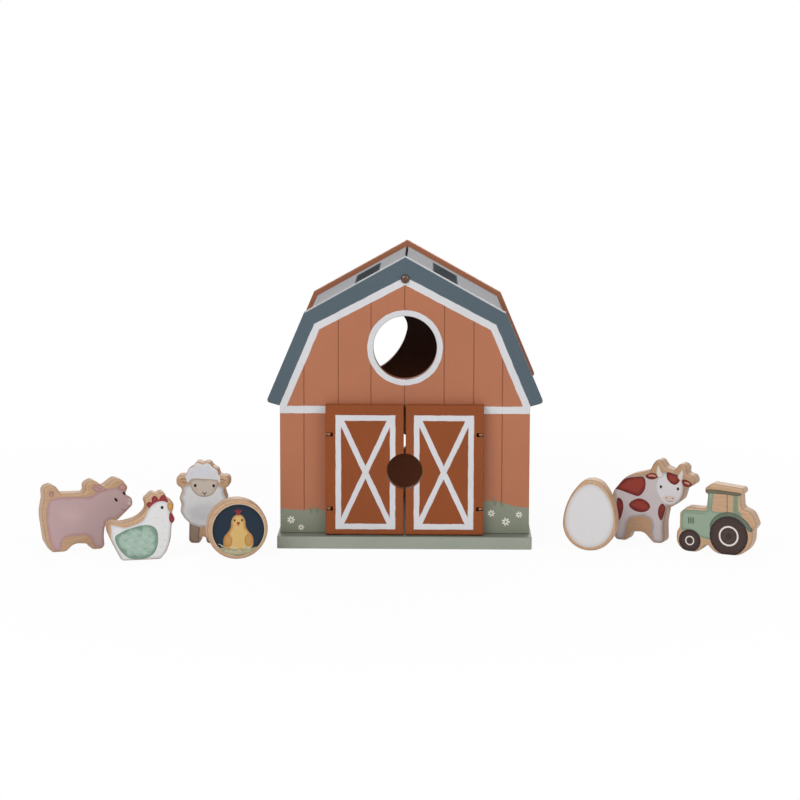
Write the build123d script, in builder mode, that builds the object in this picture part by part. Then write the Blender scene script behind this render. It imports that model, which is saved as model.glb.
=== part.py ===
from build123d import *
import os
from math import asin, cos, degrees, hypot, radians, sin

os.makedirs("parts", exist_ok=True)

# Farm shape sorter: a barn of painted boards with two hinged doors, and seven farm blocks
# that drop through the holes in its walls.
# Millimetres, +Z up, the front looks towards -Y, the origin is under the middle of the base.

# Boards
barn_depth = 175.4       # front face of the front wall to the back face of the back wall
gable_board = 9.0
side_board = 8.0
roof_board = 5.0
door_board = 9.0
base_thickness = 10.0
base_ledge = 14.8        # base in front of and behind the walls
base_lip = 1.9           # base beyond each side wall
edge_round = 0.8         # sanded edges of the painted boards
base_corner_round = 2.0

# Gable outline, heights above the base board
wall_half_width = 101.4
eave_half_width = 112.5
eave_rise = 108.0
eave_cut_drop = 3.2      # the eave's inner corner below its tip
eave_tip_round = 2.5
knee_half_width = 81.6
knee_rise = 180.9
apex_rise = 226.4

# Roof
roof_inset = 4.3         # roof panels below the gable edges
ridge_gap = 2.0
side_wall_rise = 116.0
ridge_beam_width = 18.0
ridge_beam_height = 15.0

# Doorway and doors, heights above the base board
doorway_width = 104.0
doorway_rise = 97.0
doorway_corner = 3.0
door_width = 63.2
door_rise = 106.2
door_floor_gap = 0.8
door_meeting_gap = 1.6
door_wall_gap = 0.95
finger_hole_radius = 14.45
finger_hole_rise = 53.0

# Hinges: a steel pin down each door runs in two screw eyes
pin_diameter = 2.0
pin_setback = 2.9        # pin axis from the door's outer edge
pin_cover = 4.0          # wood left over the top of the pin
pin_recess = 1.0         # pin above the door's lower edge
pin_running_clearance = 0.05
pin_bore_clearance = 0.02
eye_diameter = 5.0
eye_thickness = 2.2
eye_round = 0.5
eye_shank_diameter = 1.8
eye_shank_grip = 7.0     # shank inside the front wall
eye_shank_clearance = 0.02
eye_notch_clearance = 0.6
lower_eye_rise = 22.1
upper_eye_rise = 82.9

# Screws and dowels
screw_shank_diameter = 3.5
screw_clearance = 0.02
ridge_screw_head = 7.1
ridge_screw_head_height = 2.3
ridge_screw_dome = 1.9   # rounding of the head
ridge_screw_grip = 14.0  # ridge screw inside the beam
recess_width = 1.1
recess_length = 4.0
recess_depth = 1.3
base_screw_head = 6.6
base_screw_length = 20.0
gable_screw_spacing = 140.0
side_screw_spacing = 100.0
dowel_diameter = 4.0
dowel_length = 20.0
dowel_grip = 6.0         # dowel inside the gable board
dowel_clearance = 0.02
lower_dowel_rise = 20.0
upper_dowel_rise = 90.0

# Blocks and their holes
block_thickness = 15.0
block_round = 2.2
hole_clearance = 1.5
hole_corner_least = 0.3  # the sharpest corner that a cutter leaves in a hole

disc_radius = 24.2
window_rise = 152.5
egg_fat_radius = 21.8
egg_narrow_radius = 13.5
egg_height = 58.3

# Outline corners: across, up from the ground, corner radius
pig_corners = [
    (-29.5, 0.0, 4.0), (-34.5, 9.0, 8.0), (-37.6, 31.9, 30.0), (-35.2, 44.2, 3.0),
    (-35.8, 53.4, 5.0), (-27.0, 55.6, 5.0), (-21.4, 47.6, 3.0), (-1.2, 46.8, 2.0),
    (-1.4, 53.8, 4.0), (5.6, 57.4, 4.5), (14.2, 50.6, 3.0), (24.4, 57.6, 5.0),
    (29.8, 55.2, 4.5), (34.2, 49.2, 3.0), (31.8, 43.6, 2.0), (37.0, 40.4, 3.2),
    (38.4, 34.6, 4.5), (25.2, 22.7, 5.0), (14.5, 19.7, 5.0), (13.5, 10.3, 20.0),
    (14.3, 0.0, 4.0), (3.9, 0.0, 3.5), (0.4, 5.0, 6.0), (-11.0, 6.2, 10.0), (-18.0, 0.0, 4.0),
]
hen_corners = [
    (-16.0, 0.0, 4.0), (-22.6, 13.0, 20.0), (-27.1, 23.4, 12.0), (-27.1, 32.5, 4.2),
    (-16.6, 30.0, 18.0), (-1.5, 33.6, 18.0), (4.4, 41.8, 6.0), (2.0, 48.0, 3.5),
    (9.2, 54.4, 3.2), (13.0, 52.2, 2.6), (17.6, 55.6, 2.9), (20.4, 49.0, 3.0),
    (25.9, 45.6, 5.0), (25.6, 40.4, 3.5), (24.5, 37.2, 2.0), (27.1, 31.3, 3.5),
    (24.1, 27.7, 3.0), (23.1, 15.0, 25.0), (19.8, 5.9, 15.0), (14.8, 0.0, 4.0),
]
sheep_half_corners = [
    (-2.0, 5.4, 2.0), (-2.6, 0.0, 2.6), (-12.2, 0.0, 3.5), (-11.6, 16.8, 2.0), (-15.8, 20.9, 4.0),
    (-19.0, 26.2, 4.0), (-17.9, 32.1, 3.0), (-19.6, 37.4, 4.0), (-17.0, 45.2, 3.0),
    (-21.9, 48.4, 4.0), (-21.9, 56.4, 4.0), (-13.6, 56.6, 2.0), (-12.3, 61.6, 4.0),
    (-8.1, 63.8, 2.4), (-4.9, 68.4, 3.2),
]
sheep_crown_dip = (0.0, 66.6, 2.0)
cow_corners = [
    (-34.3, 0.0, 3.5), (-35.2, 19.2, 20.0), (-37.0, 39.5, 10.0), (-25.0, 54.4, 22.0),
    (-4.2, 60.3, 2.5), (-2.0, 65.4, 5.0), (3.0, 71.8, 3.6), (8.8, 63.6, 3.0),
    (16.4, 61.2, 3.0), (22.2, 69.4, 3.6), (27.4, 64.2, 3.2), (26.6, 59.6, 2.0),
    (32.8, 58.2, 4.0), (35.2, 52.4, 3.2), (25.6, 46.0, 2.0), (23.4, 37.6, 8.0),
    (15.4, 31.6, 6.0), (10.6, 30.2, 3.0), (8.3, 17.8, 30.0), (8.9, 0.0, 4.0),
    (-0.6, 0.0, 4.0), (-9.0, 8.4, 8.0), (-19.8, 7.8, 5.0), (-23.6, 0.0, 4.0),
]
tractor_corners = [
    (-33.5, 0.0, 10.5), (-33.2, 15.4, 4.0), (-30.8, 19.4, 3.0), (-30.8, 31.4, 3.5),
    (-25.2, 36.3, 3.5), (-8.7, 36.3, 2.0), (-7.4, 47.9, 2.0), (-10.0, 49.6, 2.6),
    (-10.0, 53.0, 2.6), (-4.6, 57.3, 3.6), (21.0, 55.1, 2.6), (23.0, 51.6, 2.6),
    (19.7, 49.0, 2.0), (20.6, 39.2, 3.0),
    (29.2, 35.8, 9.0), (33.8, 25.6, 4.0), (30.4, 21.0, 3.0), (29.8, 0.0, 16.0),
    (0.0, 0.0, 14.0), (-7.6, 7.4, 2.0), (-15.0, 0.0, 9.0),
]

# Places derived from the sizes above
sill = base_thickness
front_face = -barn_depth / 2
back_face = barn_depth / 2
inner_front = front_face + gable_board
inner_depth = barn_depth - 2 * gable_board
gable_y = (barn_depth - gable_board) / 2
side_x = wall_half_width - side_board / 2
base_half_width = wall_half_width + base_lip
door_outer_edge = door_meeting_gap / 2 + door_width
door_bottom = sill + door_floor_gap
pin_x = door_outer_edge - pin_setback
pin_y = front_face - door_wall_gap - door_board / 2
eye_heights = [sill + lower_eye_rise, sill + upper_eye_rise]
gable_screws = [
    (x, y)
    for x in (-gable_screw_spacing / 2, gable_screw_spacing / 2)
    for y in (-gable_y, gable_y)
]
side_screws = [
    (x, y)
    for x in (-side_x, side_x)
    for y in (-side_screw_spacing / 2, side_screw_spacing / 2)
]
dowel_spots = [
    (x, sill + rise)
    for x in (-side_x, side_x)
    for rise in (lower_dowel_rise, upper_dowel_rise)
]
dowel_start = inner_front - dowel_grip

apex = (0, sill + apex_rise)
knee = (knee_half_width, sill + knee_rise)
eave_tip = (eave_half_width, sill + eave_rise)
eave_corner = (wall_half_width, sill + eave_rise - eave_cut_drop)


def inward(start, end, depth):
    """The line from start to end, moved towards the inside of the barn."""
    length = hypot(end[0] - start[0], end[1] - start[1])
    across = depth * (end[1] - start[1]) / length
    down = -depth * (end[0] - start[0]) / length
    return (start[0] + across, start[1] + down), (end[0] + across, end[1] + down)


def crossing(first, second):
    """The point where two lines meet, each given by two points."""
    (ax, az), (bx, bz) = first
    (cx, cz), (dx, dz) = second
    turn = (bx - ax) * (dz - cz) - (bz - az) * (dx - cx)
    share = ((cx - ax) * (dz - cz) - (cz - az) * (dx - cx)) / turn
    return (ax + share * (bx - ax), az + share * (bz - az))


def upright(x):
    return (x, 0), (x, 1)


def level(z):
    return (0, z), (1, z)


upper_outside = inward(apex, knee, roof_inset)
upper_inside = inward(apex, knee, roof_inset + roof_board)
lower_outside = inward(knee, eave_tip, roof_inset)
lower_inside = inward(knee, eave_tip, roof_inset + roof_board)
ridge_underside = crossing(upper_inside, upright(0))
ridge_screw_z = ridge_underside[1] - ridge_beam_height / 2


def rounded_face(corners):
    """A flat face from corners given as (across, up, radius)."""
    with BuildSketch() as face:
        with BuildLine():
            Polyline([(x, z) for x, z, _ in corners], close=True)
        make_face()
        for x, z, radius in corners:
            fillet(face.vertices().sort_by_distance((x, z, 0))[0], radius)
    return face.sketch


def widened(corners, clearance):
    """The same outline, clearance further out all round. Outlines run clockwise."""
    moved = []
    for i, (x, z, radius) in enumerate(corners):
        before = corners[i - 1]
        after = corners[(i + 1) % len(corners)]
        arriving = inward(before[:2], (x, z), -clearance)
        leaving = inward((x, z), after[:2], -clearance)
        turn = (x - before[0]) * (after[1] - z) - (z - before[1]) * (after[0] - x)
        growth = clearance if turn < 0 else -clearance
        moved.append((*crossing(arriving, leaving), max(radius + growth, hole_corner_least)))
    return moved


def egg_face(clearance):
    """An egg from four tangent arcs, fat end down, standing on the origin."""
    rise = egg_height - egg_narrow_radius - egg_fat_radius
    flank = rise**2 + egg_fat_radius**2 - egg_narrow_radius**2
    flank = flank / (2 * (egg_fat_radius - egg_narrow_radius))
    reach = flank - egg_fat_radius
    sweep = degrees(asin(rise / (flank - egg_narrow_radius)))
    narrow = egg_narrow_radius + clearance
    with BuildSketch() as face:
        with BuildLine():
            CenterArc((0, egg_fat_radius), egg_fat_radius + clearance, 180, 180)
            CenterArc((-reach, egg_fat_radius), flank + clearance, 0, sweep)
            CenterArc((0, egg_fat_radius + rise), narrow, sweep, 180 - 2 * sweep)
            CenterArc((reach, egg_fat_radius), flank + clearance, 180 - sweep, sweep)
        make_face()
    return face.sketch


def disc_face(clearance):
    with BuildSketch() as face:
        with Locations((0, disc_radius)):
            Circle(disc_radius + clearance)
    return face.sketch


outlines = {
    "pig": pig_corners,
    "hen": hen_corners,
    "sheep": (
        sheep_half_corners
        + [sheep_crown_dip]
        + [(-x, z, radius) for x, z, radius in reversed(sheep_half_corners)]
    ),
    "cow": cow_corners,
    "tractor": tractor_corners,
}


def shape_face(shape, clearance=0.0):
    """A block's face, or with a clearance the hole that the block drops through."""
    if shape == "egg":
        return egg_face(clearance)
    if shape == "chick":
        return disc_face(clearance)
    return rounded_face(widened(outlines[shape], clearance))


# Holes in the walls: block, place of its foot point on the wall (across, above the base), tilt.
# The egg lies over to the right, its narrow end up.
egg_hole_centre = (-27.1, 140.8)
egg_hole_tilt = -52.0
egg_middle = egg_height / 2
back_holes = [
    ("pig", -38.1, 12.5, 0),
    ("cow", 51.0, 12.5, 0),
    (
        "egg",
        egg_hole_centre[0] + egg_middle * sin(radians(egg_hole_tilt)),
        egg_hole_centre[1] - egg_middle * cos(radians(egg_hole_tilt)),
        egg_hole_tilt,
    ),
]
left_holes = [("sheep", 33.0, 16.0, 0), ("hen", -30.0, 22.0, 0)]
right_holes = [("tractor", 0.0, 24.0, 0)]


def wall_holes(holes):
    """All hole faces of one wall, in the wall's own across and up."""
    with BuildSketch() as sketch:
        for shape, across, rise, tilt in holes:
            with Locations(Location((across, sill + rise, 0), (0, 0, tilt))):
                add(shape_face(shape, hole_clearance))
    return sketch.sketch


def gable_face():
    right = [eave_corner, eave_tip, knee]
    left = [(-x, z) for x, z in reversed(right)]
    foot = [(-wall_half_width, sill), (wall_half_width, sill)]
    with BuildSketch() as face:
        with BuildLine():
            Polyline(foot + right + [apex] + left, close=True)
        make_face()
        across = face.vertices().group_by(Axis.X)
        fillet(across[0] + across[-1], eave_tip_round)
    return face.sketch


front_plane = Plane.XZ.offset(-front_face)
back_plane = Plane(origin=(0, back_face, 0), x_dir=(-1, 0, 0), z_dir=(0, 1, 0))

# Base board
with BuildPart() as base_board:
    with BuildSketch(Plane.XY):
        Rectangle(2 * base_half_width, barn_depth + 2 * base_ledge)
    extrude(amount=base_thickness)
    fillet(base_board.edges().filter_by(Axis.Z), base_corner_round)
    fillet(base_board.faces().sort_by(Axis.Z)[-1].edges(), edge_round)
    with Locations(*[Location((x, y, 0), (180, 0, 0)) for x, y in gable_screws + side_screws]):
        CounterSinkHole(
            screw_shank_diameter / 2 + screw_clearance,
            base_screw_head / 2 + screw_clearance,
            depth=base_thickness,
            counter_sink_angle=90,
        )
base_board.part.label = "base_board"
export_step(base_board.part, "parts/base_board.step")

# Base screws, heads flush in the underside
with BuildPart() as base_screws:
    cone = (base_screw_head - screw_shank_diameter) / 2
    with Locations(*gable_screws, *side_screws):
        with Locations((0, 0, cone / 2)):
            Cone(base_screw_head / 2, screw_shank_diameter / 2, cone)
        Cylinder(
            screw_shank_diameter / 2,
            base_screw_length,
            align=(Align.CENTER, Align.CENTER, Align.MIN),
        )
        Box(
            recess_length,
            recess_width,
            2 * recess_depth,
            mode=Mode.SUBTRACT,
        )
        Box(
            recess_width,
            recess_length,
            2 * recess_depth,
            mode=Mode.SUBTRACT,
        )
base_screws.part.label = "base_screws"
export_step(base_screws.part, "parts/base_screws.step")

# Dowels between the gables and the ends of the side walls
with BuildPart() as wall_dowels:
    with BuildSketch(Plane.XZ.offset(-dowel_start)):
        with Locations(*dowel_spots):
            Circle(dowel_diameter / 2)
    extrude(amount=-dowel_length)
    with BuildSketch(Plane.XZ.offset(dowel_start)):
        with Locations(*dowel_spots):
            Circle(dowel_diameter / 2)
    extrude(amount=dowel_length)
wall_dowels.part.label = "wall_dowels"
export_step(wall_dowels.part, "parts/wall_dowels.step")

# Front wall with the doorway and the round window
with BuildPart() as front_wall:
    with BuildSketch(front_plane):
        add(gable_face())
        with Locations((0, sill + doorway_rise / 2)):
            Rectangle(doorway_width, doorway_rise, mode=Mode.SUBTRACT)
        with Locations((0, sill + window_rise)):
            Circle(disc_radius + hole_clearance, mode=Mode.SUBTRACT)
    extrude(amount=-gable_board)
    doorway_top = front_wall.edges().filter_by(Axis.Y).filter_by_position(
        Axis.Z, sill + doorway_rise - 0.01, sill + doorway_rise + 0.01
    )
    fillet(doorway_top, doorway_corner)
    fillet(front_wall.faces().sort_by(Axis.Y)[0].edges(), edge_round)
    fillet(front_wall.faces().sort_by(Axis.Y)[-1].outer_wire().edges(), edge_round)
    with BuildSketch(front_plane):
        with Locations(*[(x, z) for x in (-pin_x, pin_x) for z in eye_heights]):
            Circle(eye_shank_diameter / 2 + eye_shank_clearance)
    extrude(amount=-eye_shank_grip, mode=Mode.SUBTRACT)
    with BuildSketch(front_plane):
        with Locations((0, ridge_screw_z)):
            Circle(screw_shank_diameter / 2 + screw_clearance)
    extrude(amount=-gable_board, mode=Mode.SUBTRACT)
    with BuildSketch(Plane.XZ.offset(-dowel_start)):
        with Locations(*dowel_spots):
            Circle(dowel_diameter / 2 + dowel_clearance)
    extrude(amount=-dowel_length, mode=Mode.SUBTRACT)
    with BuildSketch(Plane.XY.offset(sill)):
        with Locations(*[spot for spot in gable_screws if spot[1] < 0]):
            Circle(screw_shank_diameter / 2 + screw_clearance)
    extrude(amount=base_screw_length - sill, mode=Mode.SUBTRACT)
front_wall.part.label = "front_wall"
export_step(front_wall.part, "parts/front_wall.step")

# Back wall with the pig, cow and egg holes
with BuildPart() as back_wall:
    with BuildSketch(Plane.XZ.offset(-back_face)):
        add(gable_face())
        add(wall_holes(back_holes), mode=Mode.SUBTRACT)
    extrude(amount=gable_board)
    fillet(back_wall.faces().sort_by(Axis.Y)[-1].outer_wire().edges(), edge_round)
    fillet(back_wall.faces().sort_by(Axis.Y)[0].outer_wire().edges(), edge_round)
    with BuildSketch(back_plane):
        with Locations((0, ridge_screw_z)):
            Circle(screw_shank_diameter / 2 + screw_clearance)
    extrude(amount=-gable_board, mode=Mode.SUBTRACT)
    with BuildSketch(Plane.XZ.offset(dowel_start)):
        with Locations(*dowel_spots):
            Circle(dowel_diameter / 2 + dowel_clearance)
    extrude(amount=dowel_length, mode=Mode.SUBTRACT)
    with BuildSketch(Plane.XY.offset(sill)):
        with Locations(*[spot for spot in gable_screws if spot[1] > 0]):
            Circle(screw_shank_diameter / 2 + screw_clearance)
    extrude(amount=base_screw_length - sill, mode=Mode.SUBTRACT)
back_wall.part.label = "back_wall"
export_step(back_wall.part, "parts/back_wall.step")


def build_side_wall(name, side, holes):
    """A side wall between the gables, its top edge bevelled to the roof."""
    top = sill + side_wall_rise
    bevel = [
        crossing(lower_inside, upright(wall_half_width)),
        crossing(lower_inside, level(top)),
        (wall_half_width, top),
    ]
    outer_plane = Plane(origin=(side * wall_half_width, 0, 0), x_dir=(0, side, 0), z_dir=(side, 0, 0))
    with BuildPart() as wall:
        with BuildSketch(outer_plane):
            with Locations((0, sill + side_wall_rise / 2)):
                Rectangle(inner_depth, side_wall_rise)
            add(wall_holes(holes), mode=Mode.SUBTRACT)
        extrude(amount=-side_board)
        with BuildSketch(Plane.XZ.offset(-inner_front)):
            with BuildLine():
                Polyline([(side * x, z) for x, z in bevel], close=True)
            make_face()
        extrude(amount=-inner_depth, mode=Mode.SUBTRACT)
        with BuildSketch(Plane.XZ.offset(-inner_front), Plane.XZ.offset(inner_front)):
            with Locations(*[spot for spot in dowel_spots if spot[0] * side > 0]):
                Circle(dowel_diameter / 2 + dowel_clearance)
        extrude(amount=dowel_length - dowel_grip, both=True, mode=Mode.SUBTRACT)
        with BuildSketch(Plane.XY.offset(sill)):
            with Locations(*[spot for spot in side_screws if spot[0] * side > 0]):
                Circle(screw_shank_diameter / 2 + screw_clearance)
        extrude(amount=base_screw_length - sill, mode=Mode.SUBTRACT)
    wall.part.label = name
    export_step(wall.part, f"parts/{name}.step")


build_side_wall("left_side_wall", -1, left_holes)
build_side_wall("right_side_wall", 1, right_holes)


def build_roof_panel(name, side, profile, rounded_corner=None):
    """A roof board between the gables, cut to its cross-section."""
    with BuildPart() as panel:
        with BuildSketch(Plane.XZ.offset(-inner_front)) as panel_face:
            with BuildLine():
                Polyline([(side * x, z) for x, z in profile], close=True)
            make_face()
            if rounded_corner:
                x, z = rounded_corner
                fillet(panel_face.vertices().sort_by_distance((side * x, z, 0))[0], edge_round)
        extrude(amount=-inner_depth)
    panel.part.label = name
    export_step(panel.part, f"parts/{name}.step")


ridge_edge = upright(ridge_gap / 2)
eave_cut = (eave_tip, eave_corner)
upper_profile = [
    crossing(upper_outside, ridge_edge),
    crossing(upper_outside, lower_outside),
    crossing(upper_inside, lower_inside),
    crossing(upper_inside, ridge_edge),
]
lower_profile = [
    crossing(upper_outside, lower_outside),
    crossing(lower_outside, eave_cut),
    crossing(lower_inside, eave_cut),
    crossing(upper_inside, lower_inside),
]
for side_name, side in (("left", -1), ("right", 1)):
    build_roof_panel(f"{side_name}_upper_roof", side, upper_profile)
    build_roof_panel(f"{side_name}_lower_roof", side, lower_profile, lower_profile[1])

# Ridge beam under the roof, its top bevelled to both upper panels
with BuildPart() as ridge_beam:
    beam_side = ridge_beam_width / 2
    beam_shoulder = crossing(upper_inside, upright(beam_side))
    beam_bottom = ridge_underside[1] - ridge_beam_height
    with BuildSketch(Plane.XZ.offset(-inner_front)):
        with BuildLine():
            Polyline(
                (-beam_side, beam_bottom),
                (beam_side, beam_bottom),
                beam_shoulder,
                ridge_underside,
                (-beam_shoulder[0], beam_shoulder[1]),
                close=True,
            )
        make_face()
    extrude(amount=-inner_depth)
    with BuildSketch(Plane.XZ.offset(-inner_front), Plane.XZ.offset(inner_front)):
        with Locations((0, ridge_screw_z)):
            Circle(screw_shank_diameter / 2 + screw_clearance)
    extrude(amount=ridge_screw_grip, both=True, mode=Mode.SUBTRACT)
ridge_beam.part.label = "ridge_beam"
export_step(ridge_beam.part, "parts/ridge_beam.step")


def build_ridge_screw(name, plane):
    """A dome-headed screw with a cross recess, through the gable into the ridge beam."""
    head = ridge_screw_head / 2
    shank = screw_shank_diameter / 2
    with BuildPart() as screw:
        with BuildSketch(plane):
            with Locations((0, ridge_screw_z)):
                Circle(head)
        extrude(amount=ridge_screw_head_height)
        outward = Axis(plane.origin, plane.z_dir)
        fillet(screw.faces().sort_by(outward)[-1].edges(), ridge_screw_dome)
        with BuildSketch(plane):
            with Locations((0, ridge_screw_z)):
                Circle(shank)
        extrude(amount=-(gable_board + ridge_screw_grip))
        with BuildSketch(plane.offset(ridge_screw_head_height)):
            with Locations((0, ridge_screw_z)):
                Rectangle(recess_length, recess_width)
                Rectangle(recess_width, recess_length)
        extrude(amount=-recess_depth, mode=Mode.SUBTRACT)
    screw.part.label = name
    export_step(screw.part, f"parts/{name}.step")


build_ridge_screw("front_ridge_screw", front_plane)
build_ridge_screw("back_ridge_screw", back_plane)


def build_door(side_name, side):
    """A door board with half of the finger hole, its hinge pin and its two screw eyes."""
    door_front = pin_y - door_board / 2
    door_middle = side * (door_meeting_gap / 2 + door_width / 2)
    notch_reach = pin_setback + eye_diameter / 2 + eye_notch_clearance
    notch_height = eye_thickness + 2 * eye_notch_clearance
    pin_start = door_bottom + pin_recess
    pin_length = door_rise - pin_recess - pin_cover
    with BuildPart() as door:
        with BuildSketch(Plane.XZ.offset(-door_front)):
            with Locations((door_middle, door_bottom + door_rise / 2)):
                Rectangle(door_width, door_rise)
            with Locations((0, sill + finger_hole_rise)):
                Circle(finger_hole_radius, mode=Mode.SUBTRACT)
        extrude(amount=-door_board)
        fillet(door.faces().sort_by(Axis.Y)[0].edges(), edge_round)
        fillet(door.faces().sort_by(Axis.Y)[-1].edges(), edge_round)
        with BuildSketch(Plane.XZ.offset(-door_front)):
            for height in eye_heights:
                with Locations((side * (door_outer_edge - notch_reach / 2), height)):
                    Rectangle(notch_reach, notch_height)
        extrude(amount=-door_board, mode=Mode.SUBTRACT)
        with BuildSketch(Plane.XY.offset(door_bottom)):
            with Locations((side * pin_x, pin_y)):
                Circle(pin_diameter / 2 + pin_bore_clearance)
        extrude(amount=door_rise - pin_cover, mode=Mode.SUBTRACT)
    door.part.label = f"{side_name}_door"
    export_step(door.part, f"parts/{side_name}_door.step")

    with BuildPart() as pin:
        with BuildSketch(Plane.XY.offset(pin_start)):
            with Locations((side * pin_x, pin_y)):
                Circle(pin_diameter / 2)
        extrude(amount=pin_length)
    pin.part.label = f"{side_name}_door_pin"
    export_step(pin.part, f"parts/{side_name}_door_pin.step")

    bore = pin_diameter / 2 + pin_running_clearance
    shank_start = pin_y + (bore + eye_diameter / 2) / 2
    with BuildPart() as eyes:
        for height in eye_heights:
            with BuildSketch(Plane.XY.offset(height - eye_thickness / 2)):
                with Locations((side * pin_x, pin_y)):
                    Circle(eye_diameter / 2)
            extrude(amount=eye_thickness)
        fillet(eyes.edges().filter_by(GeomType.CIRCLE), eye_round)
        for height in eye_heights:
            with BuildSketch(Plane.XY.offset(height - eye_thickness / 2)):
                with Locations((side * pin_x, pin_y)):
                    Circle(bore)
            extrude(amount=eye_thickness, mode=Mode.SUBTRACT)
        with BuildSketch(Plane.XZ.offset(-shank_start)):
            with Locations(*[(side * pin_x, height) for height in eye_heights]):
                Circle(eye_shank_diameter / 2)
        extrude(amount=shank_start - front_face - eye_shank_grip)
    eyes.part.label = f"{side_name}_hinge_eyes"
    export_step(eyes.part, f"parts/{side_name}_hinge_eyes.step")


build_door("left", -1)
build_door("right", 1)

# Where the blocks stand: beyond the base's side edge, in front of the front wall (negative)
# or behind it, and the turn about the upright axis.
stands = {
    "pig_block": ("pig", -1, 151.8, -25.3, 23.2, 0),
    "hen_block": ("hen", -1, 103.8, -63.4, 14.0, 0),
    "sheep_block": ("sheep", -1, 61.5, 3.0, -2.5, 0),
    "chick_disc": ("chick", -1, 28.3, -58.1, 11.0, 0),
    "egg_block": ("egg", 1, 45.9, -18.5, -13.5, -2.7),
    "cow_block": ("cow", 1, 101.1, 14.6, -24.3, 0),
    "tractor_block": ("tractor", 1, 146.8, -28.3, -24.8, 0),
}


def build_block(name, shape, side, beyond, ahead, turn, lean):
    """A block with both faces rounded over, standing on the floor."""
    yaw = radians(turn)
    foot = (side * (base_half_width + beyond), front_face + ahead, 0)
    face_plane = Plane(origin=foot, x_dir=(cos(yaw), sin(yaw), 0), z_dir=(sin(yaw), -cos(yaw), 0))
    with BuildPart() as block:
        with BuildSketch(face_plane):
            if lean:
                pivot = egg_fat_radius
                shift = (pivot * sin(radians(lean)), pivot * (1 - cos(radians(lean))), 0)
                with Locations(Location(shift, (0, 0, lean))):
                    add(shape_face(shape))
            else:
                add(shape_face(shape))
        extrude(amount=-block_thickness)
        outward = Axis(face_plane.origin, face_plane.z_dir)
        fillet(block.faces().sort_by(outward)[-1].edges(), block_round)
        fillet(block.faces().sort_by(outward)[0].edges(), block_round)
    block.part.label = name
    export_step(block.part, f"parts/{name}.step")


for name, stand in stands.items():
    build_block(name, *stand)
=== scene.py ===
import bpy
from math import ceil, cos, hypot, pi, radians, sin
from mathutils import Matrix, Vector
from mathutils.bvhtree import BVHTree
from mathutils.geometry import delaunay_2d_cdt
from mathutils.kdtree import KDTree


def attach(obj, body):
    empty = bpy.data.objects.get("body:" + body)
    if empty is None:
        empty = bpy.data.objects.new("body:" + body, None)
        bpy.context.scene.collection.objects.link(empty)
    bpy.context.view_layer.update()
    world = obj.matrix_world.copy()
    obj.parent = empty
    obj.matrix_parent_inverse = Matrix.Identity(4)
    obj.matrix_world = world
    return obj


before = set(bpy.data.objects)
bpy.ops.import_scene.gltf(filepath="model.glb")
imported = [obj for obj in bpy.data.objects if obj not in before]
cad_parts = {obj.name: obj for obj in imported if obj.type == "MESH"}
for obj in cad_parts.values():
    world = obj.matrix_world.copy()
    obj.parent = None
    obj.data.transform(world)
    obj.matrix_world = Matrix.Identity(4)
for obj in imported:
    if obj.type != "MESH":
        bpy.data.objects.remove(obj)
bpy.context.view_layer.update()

mm = 0.001

# The camera and the lights

shot = {
    "place": (0.0207, -2.0428, 0.4049),
    "lens": 109.81,
    "pan": -0.723,     # degrees, to the left
    "tilt": -8.291,
    "roll": 0.147,
}

studio = {
    "ambient": 0.4,
    "lamps": [  # name, place, size, watts
        ("keyLamp", (-1.1, -2.0, 1.6), 1.5, 29),
        ("fillLamp", (1.5, -1.8, 1.0), 1.6, 15),
        ("topLamp", (0.1, 0.5, 2.2), 1.8, 6),
        ("backLamp", (0.3, 2.2, 1.4), 1.8, 16),
    ],
    "aim": (0, 0, 0.1),
    "floorColour": (248, 248, 248),
    "floorShine": 0.94,      # share of plain white that the camera sees near the barn
    "floorFade": (0.3, 0.7),  # metres from the barn over which the floor turns white
    "floorSize": 60,
}


def srgb(colour):
    # screen colour 0-255 to the linear colour that the nodes take
    parts = [part / 255 for part in colour]
    return tuple(p / 12.92 if p <= 0.04045 else ((p + 0.055) / 1.055) ** 2.4 for p in parts) + (1,)


def addObject(name, data):
    piece = bpy.data.objects.new(name, data)
    bpy.context.scene.collection.objects.link(piece)
    return piece


def setCamera():
    pan, tilt, roll = (radians(shot[key]) for key in ("pan", "tilt", "roll"))
    ahead = Vector((sin(pan) * cos(tilt), cos(pan) * cos(tilt), sin(tilt)))
    right = Vector((cos(pan), -sin(pan), 0))
    up = right.cross(ahead)
    turnedRight = right * cos(roll) + up * sin(roll)
    turnedUp = up * cos(roll) - right * sin(roll)
    data = bpy.data.cameras.new("productCamera")
    data.sensor_width = 36
    data.lens = shot["lens"]
    camera = addObject("productCamera", data)
    turn = Matrix((turnedRight, turnedUp, -ahead)).transposed().to_4x4()
    camera.matrix_world = Matrix.Translation(shot["place"]) @ turn
    bpy.context.scene.camera = camera


def setLamps():
    for name, place, size, watts in studio["lamps"]:
        data = bpy.data.lights.new(name, "AREA")
        data.size = size
        data.energy = watts
        lamp = addObject(name, data)
        lamp.location = place
        lamp.rotation_euler = (Vector(studio["aim"]) - Vector(place)).to_track_quat("-Z", "Y").to_euler()


# Small helpers for the nodes

def feed(tree, value, socket):
    if isinstance(value, bpy.types.NodeSocket):
        tree.links.new(value, socket)
    else:
        socket.default_value = value


def calc(tree, operation, *values):
    node = tree.nodes.new("ShaderNodeMath")
    node.operation = operation
    for value, socket in zip(values, node.inputs):
        feed(tree, value, socket)
    return node.outputs[0]


def plus(tree, first, second):
    return calc(tree, "ADD", first, second)


def minus(tree, first, second):
    return calc(tree, "SUBTRACT", first, second)


def times(tree, first, second):
    return calc(tree, "MULTIPLY", first, second)


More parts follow.
